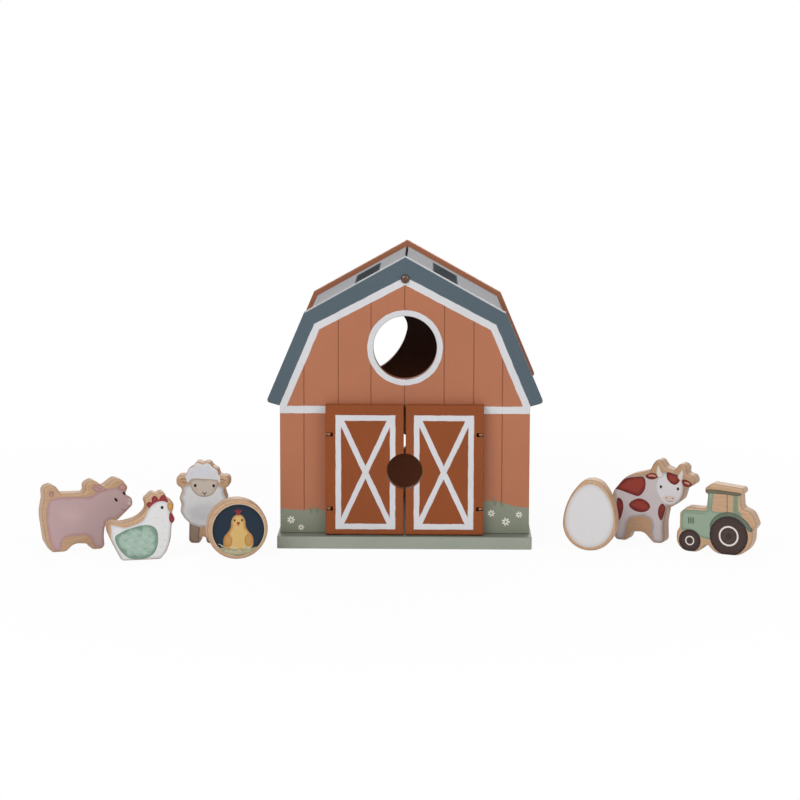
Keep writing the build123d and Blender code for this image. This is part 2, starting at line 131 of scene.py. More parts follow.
def ramp(tree, value, start, end, low=0.0, high=1.0):
    # a smooth step from low to high while value goes from start to end
    node = tree.nodes.new("ShaderNodeMapRange")
    node.interpolation_type = "SMOOTHSTEP"
    for item, socket in zip((value, start, end, low, high), node.inputs):
        feed(tree, item, socket)
    return node.outputs[0]


def mixColour(tree, share, first, second, blend="MIX"):
    node = tree.nodes.new("ShaderNodeMix")
    node.data_type = "RGBA"
    node.blend_type = blend
    for item, socket in zip((share, first, second), (node.inputs[0], node.inputs[6], node.inputs[7])):
        feed(tree, item, socket)
    return node.outputs[2]


def split(tree, vector):
    node = tree.nodes.new("ShaderNodeSeparateXYZ")
    feed(tree, vector, node.inputs[0])
    return node.outputs


def mapped(tree, vector, scale=(1, 1, 1), rotation=(0, 0, 0), location=(0, 0, 0)):
    node = tree.nodes.new("ShaderNodeMapping")
    feed(tree, vector, node.inputs["Vector"])
    node.inputs["Scale"].default_value = scale
    node.inputs["Rotation"].default_value = rotation
    node.inputs["Location"].default_value = location
    return node.outputs[0]


def noise(tree, vector, scale, detail=2.0, roughness=0.5):
    node = tree.nodes.new("ShaderNodeTexNoise")
    for key, value in (("Vector", vector), ("Scale", scale), ("Detail", detail), ("Roughness", roughness)):
        feed(tree, value, node.inputs[key])
    return node.outputs["Fac"]


def reachOf(tree, across, up):
    # the straight distance from the middle
    return calc(tree, "SQRT", plus(tree, times(tree, across, across), times(tree, up, up)))


def facing(tree, part, outward):
    # 1 where the surface looks outward along the axis of that part of its normal
    return ramp(tree, times(tree, part, outward), 0.4, 0.6)


def surface(tree):
    # the piece's own coordinates, and its normal, in its own frame
    node = tree.nodes.new("ShaderNodeTexCoord")
    return node.outputs["Object"], node.outputs["Normal"]


def bump(tree, height, strength, depth, normal=None):
    node = tree.nodes.new("ShaderNodeBump")
    node.inputs["Strength"].default_value = strength
    node.inputs["Distance"].default_value = depth * mm
    feed(tree, height, node.inputs["Height"])
    if normal is not None:
        feed(tree, normal, node.inputs["Normal"])
    return node.outputs[0]


def makeMaterial(name):
    material = bpy.data.materials.new(name)
    material.use_nodes = True
    tree = material.node_tree
    return material, tree, tree.nodes["Principled BSDF"]


def makeGroup(name, inputs, outputs):
    group = bpy.data.node_groups.new(name, "ShaderNodeTree")
    for label, start in inputs:
        kind = "NodeSocketVector" if start is None else "NodeSocketFloat"
        socket = group.interface.new_socket(label, in_out="INPUT", socket_type=kind)
        if start is not None:
            socket.default_value = start
    for label in outputs:
        kind = "NodeSocketVector" if label == "Normal" else "NodeSocketFloat"
        group.interface.new_socket(label, in_out="OUTPUT", socket_type=kind)
    entry = group.nodes.new("NodeGroupInput").outputs
    leave = group.nodes.new("NodeGroupOutput").inputs
    return group, entry, leave


def place(tree, group, **values):
    # puts a group into a material; a name such as ringWidth stands for the input Ring Width
    node = tree.nodes.new("ShaderNodeGroup")
    node.node_tree = group
    for key, value in values.items():
        label = "".join(" " + letter if letter.isupper() else letter for letter in key)
        feed(tree, value, node.inputs[label[0].upper() + label[1:]])
    return node.outputs


# Node groups

def makeEdgeWear():
    # Mask is 1 on sharp edges, broken up by noise; Normal has the edges rounded
    group, entry, leave = makeGroup(
        "edgeWear", [("Vector", None), ("Radius", 0.0006), ("Breakup", 0.5)], ["Mask", "Normal"])
    bevel = group.nodes.new("ShaderNodeBevel")
    bevel.samples = 6
    feed(group, entry["Radius"], bevel.inputs["Radius"])
    plain = group.nodes.new("ShaderNodeNewGeometry")
    dot = group.nodes.new("ShaderNodeVectorMath")
    dot.operation = "DOT_PRODUCT"
    feed(group, bevel.outputs[0], dot.inputs[0])
    feed(group, plain.outputs["Normal"], dot.inputs[1])
    bend = minus(group, 1.0, dot.outputs["Value"])
    grit = times(group, noise(group, entry["Vector"], 0.35, 4, 0.6), entry["Breakup"])
    worn = minus(group, bend, times(group, grit, 0.4))
    feed(group, ramp(group, worn, 0.0, 0.14), leave["Mask"])
    feed(group, bevel.outputs[0], leave["Normal"])
    return group


def makeBrushedPaint():
    # satin paint laid on with a roller and a brush: long faint streaks and a fine orange peel
    group, entry, leave = makeGroup(
        "brushedPaint", [("Vector", None), ("Streaks", 1.0)], ["Tone", "Roughness", "Height"])
    wide = noise(group, entry["Vector"], 0.02, 3, 0.55)
    streaks = noise(group, mapped(group, entry["Vector"], (1.1, 1.1, 0.045)), 1.0, 4, 0.6)
    peel = noise(group, entry["Vector"], 1.6, 2, 0.5)
    streakPart = times(group, minus(group, streaks, 0.5), entry["Streaks"])
    tone = calc(group, "MULTIPLY_ADD", minus(group, wide, 0.5), 0.9, 1.0)
    feed(group, calc(group, "MULTIPLY_ADD", streakPart, 0.5, tone), leave["Tone"])
    dull = calc(group, "MULTIPLY_ADD", wide, 0.16, 0.36)
    feed(group, calc(group, "MULTIPLY_ADD", streakPart, 0.3, dull), leave["Roughness"])
    fine = times(group, peel, 0.5)
    feed(group, calc(group, "MULTIPLY_ADD", streakPart, 0.8, fine), leave["Height"])
    return group


def makeWoodGrain():
    # grain along X: rings of a board cut beside the heart, fibres, and short dark pores
    group, entry, leave = makeGroup(
        "woodGrain", [("Vector", None), ("Ring Width", 3.2), ("Wander", 1.0)], ["Rings", "Fibre", "Pores"])
    _, y, z = split(group, entry["Vector"])
    heartY, heartZ = 41, 17  # mm from the tree's heart to the middle of the board
    drift = times(group, noise(group, mapped(group, entry["Vector"], (0.012, 0.04, 0.04)), 1.0, 2),
                 times(group, entry["Wander"], 26))
    reach = reachOf(group, plus(group, y, heartY), plus(group, z, heartZ))
    turns = calc(group, "DIVIDE", plus(group, reach, drift), entry["Ring Width"])
    rings = calc(group, "POWER", calc(group, "FRACT", turns), 2.2)
    feed(group, rings, leave["Rings"])
    feed(group, noise(group, mapped(group, entry["Vector"], (0.05, 1.4, 1.4)), 1.0, 5, 0.65), leave["Fibre"])
    dashes = noise(group, mapped(group, entry["Vector"], (0.22, 2.6, 2.6)), 1.0, 1)
    feed(group, ramp(group, dashes, 0.66, 0.74), leave["Pores"])
    return group


def makeInkMottle():
    # watercolour-like print: soft clouds and fine grain of the wood below
    group, entry, leave = makeGroup(
        "inkMottle", [("Vector", None), ("Cloud Size", 9.0)], ["Tone", "Grain", "Height"])
    clouds = noise(group, entry["Vector"], calc(group, "DIVIDE", 1.0, entry["Cloud Size"]), 4, 0.6)
    grain = noise(group, mapped(group, entry["Vector"], (0.5, 1.2, 1.6)), 1.5, 3, 0.6)
    feed(group, clouds, leave["Tone"])
    feed(group, grain, leave["Grain"])
    feed(group, calc(group, "MULTIPLY_ADD", grain, 0.6, times(group, clouds, 0.4)), leave["Height"])
    return group


def makeBand():
    # 1 where Value lies between Start and End, with soft sides
    group, entry, leave = makeGroup(
        "band", [("Value", 0.0), ("Start", 0.0), ("End", 1.0), ("Soft", 0.25)], ["Mask"])
    sides = [ramp(group, entry["Value"], minus(group, entry[side], entry["Soft"]),
                  plus(group, entry[side], entry["Soft"]), low, 1.0 - low)
             for side, low in (("Start", 0.0), ("End", 1.0))]
    feed(group, times(group, *sides), leave["Mask"])
    return group


def makePlankLine():
    # one thin groove between two planks, a little uneven along its length
    group, entry, leave = makeGroup(
        "plankLine", [("Across", 0.0), ("Place", 0.0), ("Width", 0.8), ("Waver", 0.0)], ["Mask"])
    across = plus(group, entry["Across"], entry["Waver"])
    gap = calc(group, "ABSOLUTE", minus(group, across, entry["Place"]))
    core, rim = (times(group, entry["Width"], share) for share in (0.25, 0.75))
    feed(group, ramp(group, gap, core, rim, 1.0, 0.0), leave["Mask"])
    return group


def makeDaisy():
    # a painted flower of seven narrow petals and its heart
    group, entry, leave = makeGroup(
        "daisy", [("Across", 0.0), ("Up", 0.0), ("Size", 2.6), ("Turn", 0.0)], ["Petals", "Heart"])
    reach = calc(group, "DIVIDE", reachOf(group, entry["Across"], entry["Up"]), entry["Size"])
    angle = plus(group, calc(group, "ARCTAN2", entry["Up"], entry["Across"]), entry["Turn"])
    lobe = calc(group, "ABSOLUTE", calc(group, "COSINE", times(group, angle, 3.5)))
    edge = calc(group, "MULTIPLY_ADD", calc(group, "POWER", lobe, 0.8), 0.72, 0.28)
    feed(group, ramp(group, minus(group, edge, reach), -0.05, 0.07), leave["Petals"])
    feed(group, ramp(group, reach, 0.2, 0.28, 1.0, 0.0), leave["Heart"])
    return group


def makeGrassTuft():
    # four painted blades that spread from one foot and end in a point
    group, entry, leave = makeGroup(
        "grassTuft", [("Across", 0.0), ("Up", 0.0), ("Size", 4.5), ("Lean", 0.0)], ["Mask"])
    up = calc(group, "DIVIDE", entry["Up"], entry["Size"])
    sweep = times(group, calc(group, "POWER", calc(group, "MAXIMUM", up, 0.0), 1.4), entry["Size"])
    halfWidth = 0.85  # mm at the foot of a blade
    tuft = None
    for slope, length in ((-0.7, 0.8), (-0.25, 0.92), (0.1, 1.0), (0.5, 0.78)):
        bend = times(group, plus(group, entry["Lean"], slope), sweep)
        gap = calc(group, "ABSOLUTE", minus(group, entry["Across"], bend))
        half = times(group, minus(group, 1.0, calc(group, "DIVIDE", up, length)), halfWidth)
        blade = times(group, ramp(group, minus(group, half, gap), -0.08, 0.12),
                     ramp(group, up, -0.02, 0.02))
        tuft = blade if tuft is None else calc(group, "MAXIMUM", tuft, blade)
    feed(group, tuft, leave["Mask"])
    return group


edgeWear = makeEdgeWear()
brushedPaint = makeBrushedPaint()
woodGrain = makeWoodGrain()
inkMottle = makeInkMottle()
band = makeBand()
plankLine = makePlankLine()
daisy = makeDaisy()
grassTuft = makeGrassTuft()
print("groups made")


# Floor and background

def seenRays(tree):
    # 1 for the camera's rays and those of shiny or clear surfaces, which see the white studio
    rays = tree.nodes.new("ShaderNodeLightPath").outputs
    mirrored = calc(tree, "MAXIMUM", rays["Is Glossy Ray"], rays["Is Transmission Ray"])
    return calc(tree, "MAXIMUM", rays["Is Camera Ray"], mirrored)


def setStudio():
    scene = bpy.context.scene
    scene.view_settings.view_transform = "Standard"
    world = bpy.data.worlds.new("studioWorld")
    scene.world = world
    world.use_nodes = True
    tree = world.node_tree
    background = tree.nodes["Background"]
    background.inputs["Color"].default_value = (1, 1, 1, 1)
    strength = calc(tree, "MULTIPLY_ADD", seenRays(tree), 1 - studio["ambient"], studio["ambient"])
    feed(tree, strength, background.inputs["Strength"])

    half = studio["floorSize"] / 2
    mesh = bpy.data.meshes.new("studioFloor")
    corners = [(-half, -half, 0), (half, -half, 0), (half, half, 0), (-half, half, 0)]
    mesh.from_pydata(corners, [], [(0, 1, 2, 3)])
    floor = addObject("studioFloor", mesh)
    material, tree, shader = makeMaterial("floorPaper")
    shader.inputs["Base Color"].default_value = srgb(studio["floorColour"])
    shader.inputs["Roughness"].default_value = 0.9
    shader.inputs["Specular IOR Level"].default_value = 0.1
    x, y, _ = split(tree, surface(tree)[0])
    share = ramp(tree, reachOf(tree, x, y), *studio["floorFade"], studio["floorShine"], 1.0)
    glow = tree.nodes.new("ShaderNodeEmission")
    mix = tree.nodes.new("ShaderNodeMixShader")
    feed(tree, times(tree, share, seenRays(tree)), mix.inputs[0])
    feed(tree, shader.outputs[0], mix.inputs[1])
    feed(tree, glow.outputs[0], mix.inputs[2])
    feed(tree, mix.outputs[0], tree.nodes["Material Output"].inputs["Surface"])
    mesh.materials.append(material)


setCamera()
setLamps()
setStudio()
print("camera, lamps and floor set")


# The barn's boards

barn = {
    "terracotta": (171, 109, 79),
    "plankLine": (128, 72, 48),
    "plankWidth": 0.8,
    "slate": (78, 92, 101),
    "trimWhite": (207, 207, 210),
    # the gable's slopes: how far inside them the middle of the ground lies, and what across and up take off
    "upperSlope": (206.47, 0.487, 0.8734),
    "lowerSlope": (149.64, 0.9207, 0.3903),
    "slateDepth": (14.4, 11.1),   # mm inside the upper slope at its top, and inside the lower slope
    "whiteDepth": (20.1, 16.7),
    "taper": 0.031,               # how much narrower the trim gets per mm down the upper slope
    "trimFoot": (108.7, 109.1),   # heights between which the trim of the slopes begins
    "belt": (108.9, 114.9),       # heights of the white belt's foot and top
    "beltGap": (58.2, 58.6),      # mm from the middle to where the front's belt begins, beside the doors
    "window": (162.5, 30.5),      # height of its middle, and reach of its white ring
    "ends": (100.8, 101.0),       # mm from the middle to the board's upright end edges
    "topEdge": (178, 178, 180),   # the front board's own thickness at the ridge
    "topEdgeFrom": (190.0, 192.0),
    "underRoof": (12, 15),        # mm inside the slopes where the roof meets the gables
    "inside": (0.3, 1.3),         # painted shade of the inner walls at the top, and painted light at the bottom, where it is above 1
    "insideUp": (80, 140),        # heights between which it changes
    "strip": 0.78,                # painted shade of the inner side's strip above the roof
    "hillGreen": (131, 136, 119),
    "hillShade": (128, 133, 116),
    "grass": (112, 118, 98),
    "grassShare": 0.85,
    "daisy": (218, 219, 206),
    "daisyHeart": (122, 124, 96),
    "frontPlanks": (-81.8, -53.9, -27.5, -0.3, 31.7, 55.6, 78.9),
    "sidePlanks": (-60.5, -34.0, -6.5, 21.0, 47.5, 66.0),
    # the top line of the hills: along the wall and above the ground
    "frontHills": [(-101.4, 30.5), (-85, 29), (-70, 29.5), (-56, 27), (56, 35), (66, 37.2), (82, 35),
                   (92, 32.5), (101.4, 32)],
    "backHills": [(-101.4, 30.5), (-82, 33), (-58, 35.5), (-30, 31), (0, 27.5), (30, 30), (62, 34.5),
                  (84, 33.5), (101.4, 32)],
    "leftHills": [(-77.7, 30.5), (-50, 26), (-20, 31), (10, 28), (45, 32), (77.7, 30.5)],
    "rightHills": [(-77.7, 32), (-52, 35), (-24, 31), (8, 27), (40, 29.5), (77.7, 32)],
    "hillReach": 110,     # mm to each side, and up, that the hill curves span
    "hillTop": 50,
    # daisies: along the wall, above the ground, size
    "frontDaisies": [(-92.6, 20.8, 3.3), (-84.4, 14.6, 2.6), (70.6, 27.0, 3.1), (82.5, 20.0, 3.5),
                     (93.2, 26.0, 2.8)],
    "backDaisies": [(-86.0, 21.0, 3.4), (-2.5, 20.0, 3.1), (6.5, 15.0, 2.5), (88.0, 18.0, 3.0)],
    "sideDaisies": [(-62.0, 18.5, 3.1), (-2.0, 21.0, 2.9), (52.0, 17.5, 3.4)],
    # grass tufts: along the wall, above the ground, height
    "frontGrass": [(-76.0, 26.4, 9.6), (-71.5, 26.6, 6.6), (74.0, 33.0, 9.8), (79.4, 32.0, 6.8)],
    "backGrass": [(-72.0, 31.0, 9.6), (-40.0, 29.0, 7.0), (28.0, 26.4, 7.2), (72.0, 31.0, 9.6)],
    "sideGrass": [(-44.0, 25.2, 9.0), (18.0, 26.0, 7.0), (62.0, 28.4, 9.4)],
}

roof = {
    "grey": (172, 172, 174),
    "dull": 0.32,               # added to the paint's roughness
    "glass": (28, 34, 40),
    "glassPaintedReflection": (42, 50, 58),
    "frame": (78, 86, 94),
    "skylight": (25.2, 49.5),   # mm down the slope from the ridge
    "skylightHalf": 56.0,       # mm to each side of its middle
    "gleam": (0.012, -0.05),    # how the painted reflection lightens the glass per mm along the ridge, and inwards
}

door = {
    "rust": (139, 71, 30),
    "grain": (110, 50, 18),
    "grainShare": 0.3,
    "white": (207, 207, 211),
    "frame": (7.46, 55.88, 15.3, 108.9),  # outer sides of the white frame: across and up
    "line": 4.5,
    "cross": 4.35,
    "crossReach": 0.943,  # share of the frame's width that the diagonals span
}

# the base's top faces are painted darker by topShade, a painted shade
basePaint = {"green": (149, 154, 142), "topShade": 0.66}
beamPaint = {"slate": (62, 72, 82)}

satin = {
    "tone": 0.22,             # share of the coat's light and dark streaks
    "worn": (214, 206, 196),  # what shows where an edge is worn
    "wear": 0.28,
    "wearRadius": 0.0006,
    "wearBreakup": 0.9,
    "waver": 1.1,             # mm that a painted line wanders
    "groove": 6.0,            # depth of a plank's groove beside that of the streaks
    "bump": 0.35,
    "bumpDepth": 0.05,
    "shine": 0.25,
    "roofShine": 0.02,
}


def finishPaint(tree, shader, real, colour, streaks=1.0, grooves=None, dull=0.0):
    # the satin coat over whatever colours are laid down: tone, worn edges, roughness and bump
    coat = place(tree, brushedPaint, vector=real, streaks=streaks)
    wear = place(tree, edgeWear, vector=real, radius=satin["wearRadius"], breakup=satin["wearBreakup"])
    toned = mixColour(tree, satin["tone"], colour, coat["Tone"], "MULTIPLY")
    worn = mixColour(tree, times(tree, wear["Mask"], satin["wear"]), toned, srgb(satin["worn"]))
    feed(tree, worn, shader.inputs["Base Color"])
    roughness = calc(tree, "MULTIPLY_ADD", wear["Mask"], 0.1, plus(tree, coat["Roughness"], dull))
    feed(tree, roughness, shader.inputs["Roughness"])
    height = coat["Height"]
    if grooves is not None:
        height = minus(tree, height, times(tree, grooves, satin["groove"]))
    normal = bump(tree, height, satin["bump"], satin["bumpDepth"], wear["Normal"])
    feed(tree, normal, shader.inputs["Normal"])
    shader.inputs["Specular IOR Level"].default_value = satin["shine"]


def boardPlaces(tree):
    # the board's coordinates in mm, with the slight unsteadiness of a painted edge
    coordinates, normal = surface(tree)
    real = mapped(tree, coordinates, (1000, 1000, 1000))
    waver = times(tree, minus(tree, noise(tree, real, 0.11, 3, 0.6), 0.5), satin["waver"])
    return real, split(tree, real), split(tree, normal), waver


def lay(tree, colour, ink, *masks):
    # lays a colour where all the masks are 1
    share = masks[0]
    for mask in masks[1:]:
        share = times(tree, share, mask)
    return mixColour(tree, share, colour, srgb(ink))


def paintInnerShadeAndLight(tree, colour, inner, up):
    # painted shade and light on the inner walls: darker than their paint at the top, lighter than it near the bottom
    top, bottom = barn["inside"]
    share = ramp(tree, up, *barn["insideUp"], bottom, top)
    tone = calc(tree, "MULTIPLY_ADD", minus(tree, share, 1.0), inner, 1.0)
    return mixColour(tree, 1.0, colour, tone, "MULTIPLY")


def layPlanks(tree, across, places, face, waver):
    # the terracotta boards and the grooves between them
    waver = times(tree, waver, 0.5)
    grooves = None
    for spot in places:
        line = place(tree, plankLine, across=across, place=spot, width=barn["plankWidth"], waver=waver)[0]
        grooves = line if grooves is None else calc(tree, "MAXIMUM", grooves, line)
    grooves = times(tree, face, grooves)
    return grooves, lay(tree, srgb(barn["terracotta"]), barn["plankLine"], grooves)


def layHills(tree, colour, across, up, tops, face):
    # low green hills with a soft darker foot, on the side that face marks
    curve = tree.nodes.new("ShaderNodeFloatCurve")
    curve.mapping.extend = "HORIZONTAL"
    line = curve.mapping.curves[0].points
    spots = [(0.5 + x / 2 / barn["hillReach"], z / barn["hillTop"]) for x, z in tops]
    line[0].location, line[1].location = spots[0], spots[-1]
    for spot in spots[1:-1]:
        line.new(*spot)
    curve.mapping.update()
    feed(tree, calc(tree, "MULTIPLY_ADD", across, 0.5 / barn["hillReach"], 0.5), curve.inputs["Value"])
    below = minus(tree, times(tree, curve.outputs[0], barn["hillTop"]), up)
    hill = times(tree, face, ramp(tree, below, -0.3, 0.3))
    green = mixColour(tree, ramp(tree, below, 0, 20), srgb(barn["hillGreen"]), srgb(barn["hillShade"]))
    return mixColour(tree, hill, colour, green)


def layPlants(tree, colour, across, up, wall, face):
    # tufts of grass and daisies, each in coordinates of its own
    for index, (x, z, size) in enumerate(barn[wall + "Grass"]):
        tuft = place(tree, grassTuft, across=minus(tree, across, x), up=minus(tree, up, z),
                     size=size, lean=0.3 * sin(index * 2.0))
        colour = lay(tree, colour, barn["grass"], tuft["Mask"], face, barn["grassShare"])
    for index, (x, z, size) in enumerate(barn[wall + "Daisies"]):
        flower = place(tree, daisy, across=minus(tree, across, x), up=minus(tree, up, z),
                       size=size, turn=index * 0.9)
        colour = lay(tree, colour, barn["daisy"], flower["Petals"], face)
        colour = lay(tree, colour, barn["daisyHeart"], flower["Heart"], face)
    return colour


def gablePaint(wall, outward):
    material, tree, shader = makeMaterial(wall + "GablePaint")
    front = wall == "front"
    real, (x, _, z), (nx, ny, nz), waver = boardPlaces(tree)
    face = facing(tree, ny, outward)
    side = calc(tree, "ABSOLUTE", x)
    height = plus(tree, z, waver)
    # how far inside the gable's sloping edges a point lies
    fromUpper, fromLower = (
        minus(tree, middle, plus(tree, times(tree, side, perSide), times(tree, z, perUp)))
        for middle, perSide, perUp in (barn["upperSlope"], barn["lowerSlope"]))
    inside = calc(tree, "MINIMUM", fromUpper, fromLower)

    def slopeTrim(depths):
        # 1 between the sloping edges and a line inside them
        upper = minus(tree, calc(tree, "MULTIPLY_ADD", side, barn["taper"], fromUpper), depths[0])
        lower = minus(tree, fromLower, depths[1])
        return ramp(tree, plus(tree, waver, calc(tree, "MINIMUM", upper, lower)), -0.25, 0.25, 1.0, 0.0)

    planks, colour = layPlanks(tree, x, barn["frontPlanks"], face, waver)
    # the hills run on over the board's upright end edges
    ends = times(tree, facing(tree, calc(tree, "ABSOLUTE", nx), 1), ramp(tree, side, *barn["ends"]))
    colour = layHills(tree, colour, x, z, barn[wall + "Hills"], calc(tree, "MAXIMUM", face, ends))
    colour = layPlants(tree, colour, x, z, wall, face)
    belt = place(tree, band, value=height, start=barn["belt"][0], end=barn["belt"][1])[0]
    if front:
        belt = times(tree, belt, ramp(tree, side, *barn["beltGap"]))
    colour = lay(tree, colour, barn["trimWhite"], belt, face)
    if front:
        windowUp, windowReach = barn["window"]
        reach = reachOf(tree, x, minus(tree, z, windowUp))
        ring = place(tree, band, value=plus(tree, reach, waver), end=windowReach)[0]
        colour = lay(tree, colour, barn["trimWhite"], ring, face)
    aboveBelt = times(tree, face, ramp(tree, height, *barn["trimFoot"]))
    colour = lay(tree, colour, barn["trimWhite"], aboveBelt, slopeTrim(barn["whiteDepth"]))
    colour = lay(tree, colour, barn["slate"], aboveBelt, slopeTrim(barn["slateDepth"]))
    if front:
        # the board's own thickness along the slopes
        rim = times(tree, ramp(tree, inside, 0.3, 1.2, 1.0, 0.0), ramp(tree, nz, 0.15, 0.3))
        edge = lay(tree, srgb(barn["slate"]), barn["topEdge"], ramp(tree, z, *barn["topEdgeFrom"]))
        colour = mixColour(tree, rim, colour, edge)
    # painted shade on the inner side: the strip that stands above the roof is painted a little darker, and below the
    # roof it gets the inner walls' painted shade and light
    inward = facing(tree, ny, -outward)
    strip = times(tree, inward, ramp(tree, inside, *barn["underRoof"], 1 - barn["strip"], 0.0))
    colour = mixColour(tree, 1.0, colour, minus(tree, 1.0, strip), "MULTIPLY")
    paintedInnerShade = times(tree, inward, ramp(tree, inside, *barn["underRoof"]))
    finishPaint(tree, shader, real, paintInnerShadeAndLight(tree, colour, paintedInnerShade, z), 1.0, planks)
    return material


def sidePaint(wall, outward):
    material, tree, shader = makeMaterial(wall + "SidePaint")
    real, (_, y, z), (nx, _, _), waver = boardPlaces(tree)
    face = facing(tree, nx, outward)
    planks, colour = layPlanks(tree, y, barn["sidePlanks"], face, waver)
    colour = layHills(tree, colour, y, z, barn[wall + "Hills"], face)
    colour = layPlants(tree, colour, y, z, "side", face)
    # the inner side gets painted shade towards the top and painted light near the bottom
    colour = paintInnerShadeAndLight(tree, colour, facing(tree, nx, -outward), z)
    finishPaint(tree, shader, real, colour, 1.0, planks)
    return material


def doorPaint():
    material, tree, shader = makeMaterial("doorPaint")
    real, (x, _, z), (_, ny, _), waver = boardPlaces(tree)
    face = facing(tree, ny, -1)
    left, right, bottom, top = door["frame"]
    halfX, halfZ = (right - left) / 2, (top - bottom) / 2
    dx = calc(tree, "ABSOLUTE", minus(tree, calc(tree, "ABSOLUTE", x), (left + right) / 2))
    dz = calc(tree, "ABSOLUTE", minus(tree, z, (bottom + top) / 2))
    # distance inside the frame's outer sides, and from the nearer diagonal
    inside = calc(tree, "MINIMUM", minus(tree, halfX, dx), minus(tree, halfZ, dz))
    runX, runZ = (halfX - door["line"] / 2) * door["crossReach"], halfZ - door["line"] / 2
    length = hypot(runX, runZ)
    cross = minus(tree, times(tree, dx, runZ / length), times(tree, dz, runX / length))
    frameLine = place(tree, band, value=plus(tree, inside, waver), end=door["line"])[0]
    crossLine = place(tree, band, value=plus(tree, calc(tree, "ABSOLUTE", cross), waver), start=-9,
                      end=door["cross"] / 2)[0]
    crossLine = times(tree, ramp(tree, inside, -0.2, 0.2), crossLine)
    upright = mapped(tree, real, rotation=(0, pi / 2, 0))
    grain = place(tree, woodGrain, vector=upright, ringWidth=9.0, wander=1.4)
    rust = lay(tree, srgb(door["rust"]), door["grain"], grain["Fibre"], door["grainShare"])
    colour = lay(tree, rust, door["white"], face, calc(tree, "MAXIMUM", frameLine, crossLine))
    finishPaint(tree, shader, real, colour, 1.2)
    return material


def roofPaint():
    material, tree, shader = makeMaterial("roofPaint")
    real, (x, y, _), (_, _, nz), waver = boardPlaces(tree)
    outside = ramp(tree, nz, 0.5, 0.7)
    slope = calc(tree, "DIVIDE", calc(tree, "ABSOLUTE", x), barn["upperSlope"][2])
    top, bottom = roof["skylight"]
    middle, half = (top + bottom) / 2, (bottom - top) / 2
    along = calc(tree, "ABSOLUTE", y)
    dy = minus(tree, roof["skylightHalf"], along)
    ds = minus(tree, half, calc(tree, "ABSOLUTE", minus(tree, slope, middle)))
    inside = plus(tree, calc(tree, "MINIMUM", dy, ds), waver)
    pane = times(tree, outside, ramp(tree, inside, 0.0, 0.5))
    # the rim of the frame and the bar across its middle
    rim = ramp(tree, inside, 1.2, 1.8, 1.0, 0.0)
    bar = ramp(tree, along, 0.5, 1.0, 1.0, 0.0)
    # a painted reflection: the glass is painted lighter along the ridge towards the back, and darker inwards
    gleamY, gleamSlope = roof["gleam"]
    gleam = plus(tree, times(tree, y, gleamY), times(tree, ds, gleamSlope))
    glass = lay(tree, srgb(roof["glass"]), roof["glassPaintedReflection"], ramp(tree, gleam, -0.6, 0.5))
    colour = mixColour(tree, pane, srgb(roof["grey"]), glass)
    colour = lay(tree, colour, roof["frame"], pane, calc(tree, "MAXIMUM", rim, bar))
    finishPaint(tree, shader, real, colour, 0.8, dull=roof["dull"])
    shader.inputs["Specular IOR Level"].default_value = satin["roofShine"]
    return material


def plainPaint(name, colour, topShade=1.0):
    material, tree, shader = makeMaterial(name)
    coordinates, normal = surface(tree)
    real = mapped(tree, coordinates, (1000, 1000, 1000))
    # top faces are painted darker by topShade: a painted shade
    tone = ramp(tree, split(tree, normal)[2], 0.6, 0.9, 1.0, topShade)
    finishPaint(tree, shader, real, mixColour(tree, 1.0, srgb(colour), tone, "MULTIPLY"), 0.8)
    return material


def dress(nodes, material):
    for name in nodes:
        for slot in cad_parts[name].material_slots:
            slot.material = material


dress(["front_wall"], gablePaint("front", -1))
dress(["back_wall"], gablePaint("back", 1))
dress(["left_side_wall"], sidePaint("left", -1))
dress(["right_side_wall"], sidePaint("right", 1))
dress(["left_door", "right_door"], doorPaint())
dress(["left_upper_roof", "right_upper_roof", "left_lower_roof", "right_lower_roof"], roofPaint())
dress(["base_board"], plainPaint("basePaint", basePaint["green"], basePaint["topShade"]))
dress(["ridge_beam"], plainPaint("beamPaint", beamPaint["slate"]))
print("boards painted")


# Metal and dowels

metal = {  # colour, roughness, colour of the stains and their share
    "antiqueBronze": ((108, 88, 78), 0.16, (46, 34, 29), 0.8),
    "warmBrass": ((168, 116, 80), 0.22, (136, 98, 60), 0.5),
    "zincSteel": ((176, 178, 180), 0.3, (140, 142, 146), 0.6),
}

wood = {
    "light": (196, 160, 125),
    "dark": (164, 125, 92),
    "cow": (184, 148, 116),         # the cow's wood is a little darker
    "dowel": (206, 176, 134),
    "dowelDark": (170, 134, 92),
    "burnt": 0.62,                  # the pores, the sawn edges and the painted shade line, as a share of the dark colour
    "ringWidth": 3.4,
    "rings": 0.36,
    "fibre": 0.45,
    "pores": 0.5,
    "sawn": 0.6,
    "bump": 0.4,
    "bumpDepth": 0.05,
    "lacquer": 0.12,
    "lacquerRoughness": 0.3,
}


def metalFinish(name):
    plain, roughness, stained, spots = metal[name]
    material, tree, shader = makeMaterial(name)
    real = mapped(tree, surface(tree)[0], (1000, 1000, 1000))
    wear = place(tree, edgeWear, vector=real, radius=0.0003, breakup=0.4)
    stain = noise(tree, real, 0.8, 4, 0.65)
    colour = lay(tree, srgb(plain), stained, ramp(tree, stain, 0.45, 0.7), spots)
    bright = mixColour(tree, 1.0, colour, (1.5, 1.5, 1.5, 1), "MULTIPLY")
    worn = mixColour(tree, times(tree, wear["Mask"], 0.6), colour, bright)
    feed(tree, worn, shader.inputs["Base Color"])
    shader.inputs["Metallic"].default_value = 1.0
    feed(tree, calc(tree, "MULTIPLY_ADD", stain, 0.18, roughness - 0.09), shader.inputs["Roughness"])
    fine = noise(tree, real, 5.0, 2, 0.5)
    feed(tree, bump(tree, fine, 0.15, 0.02, wear["Normal"]), shader.inputs["Normal"])
    return material


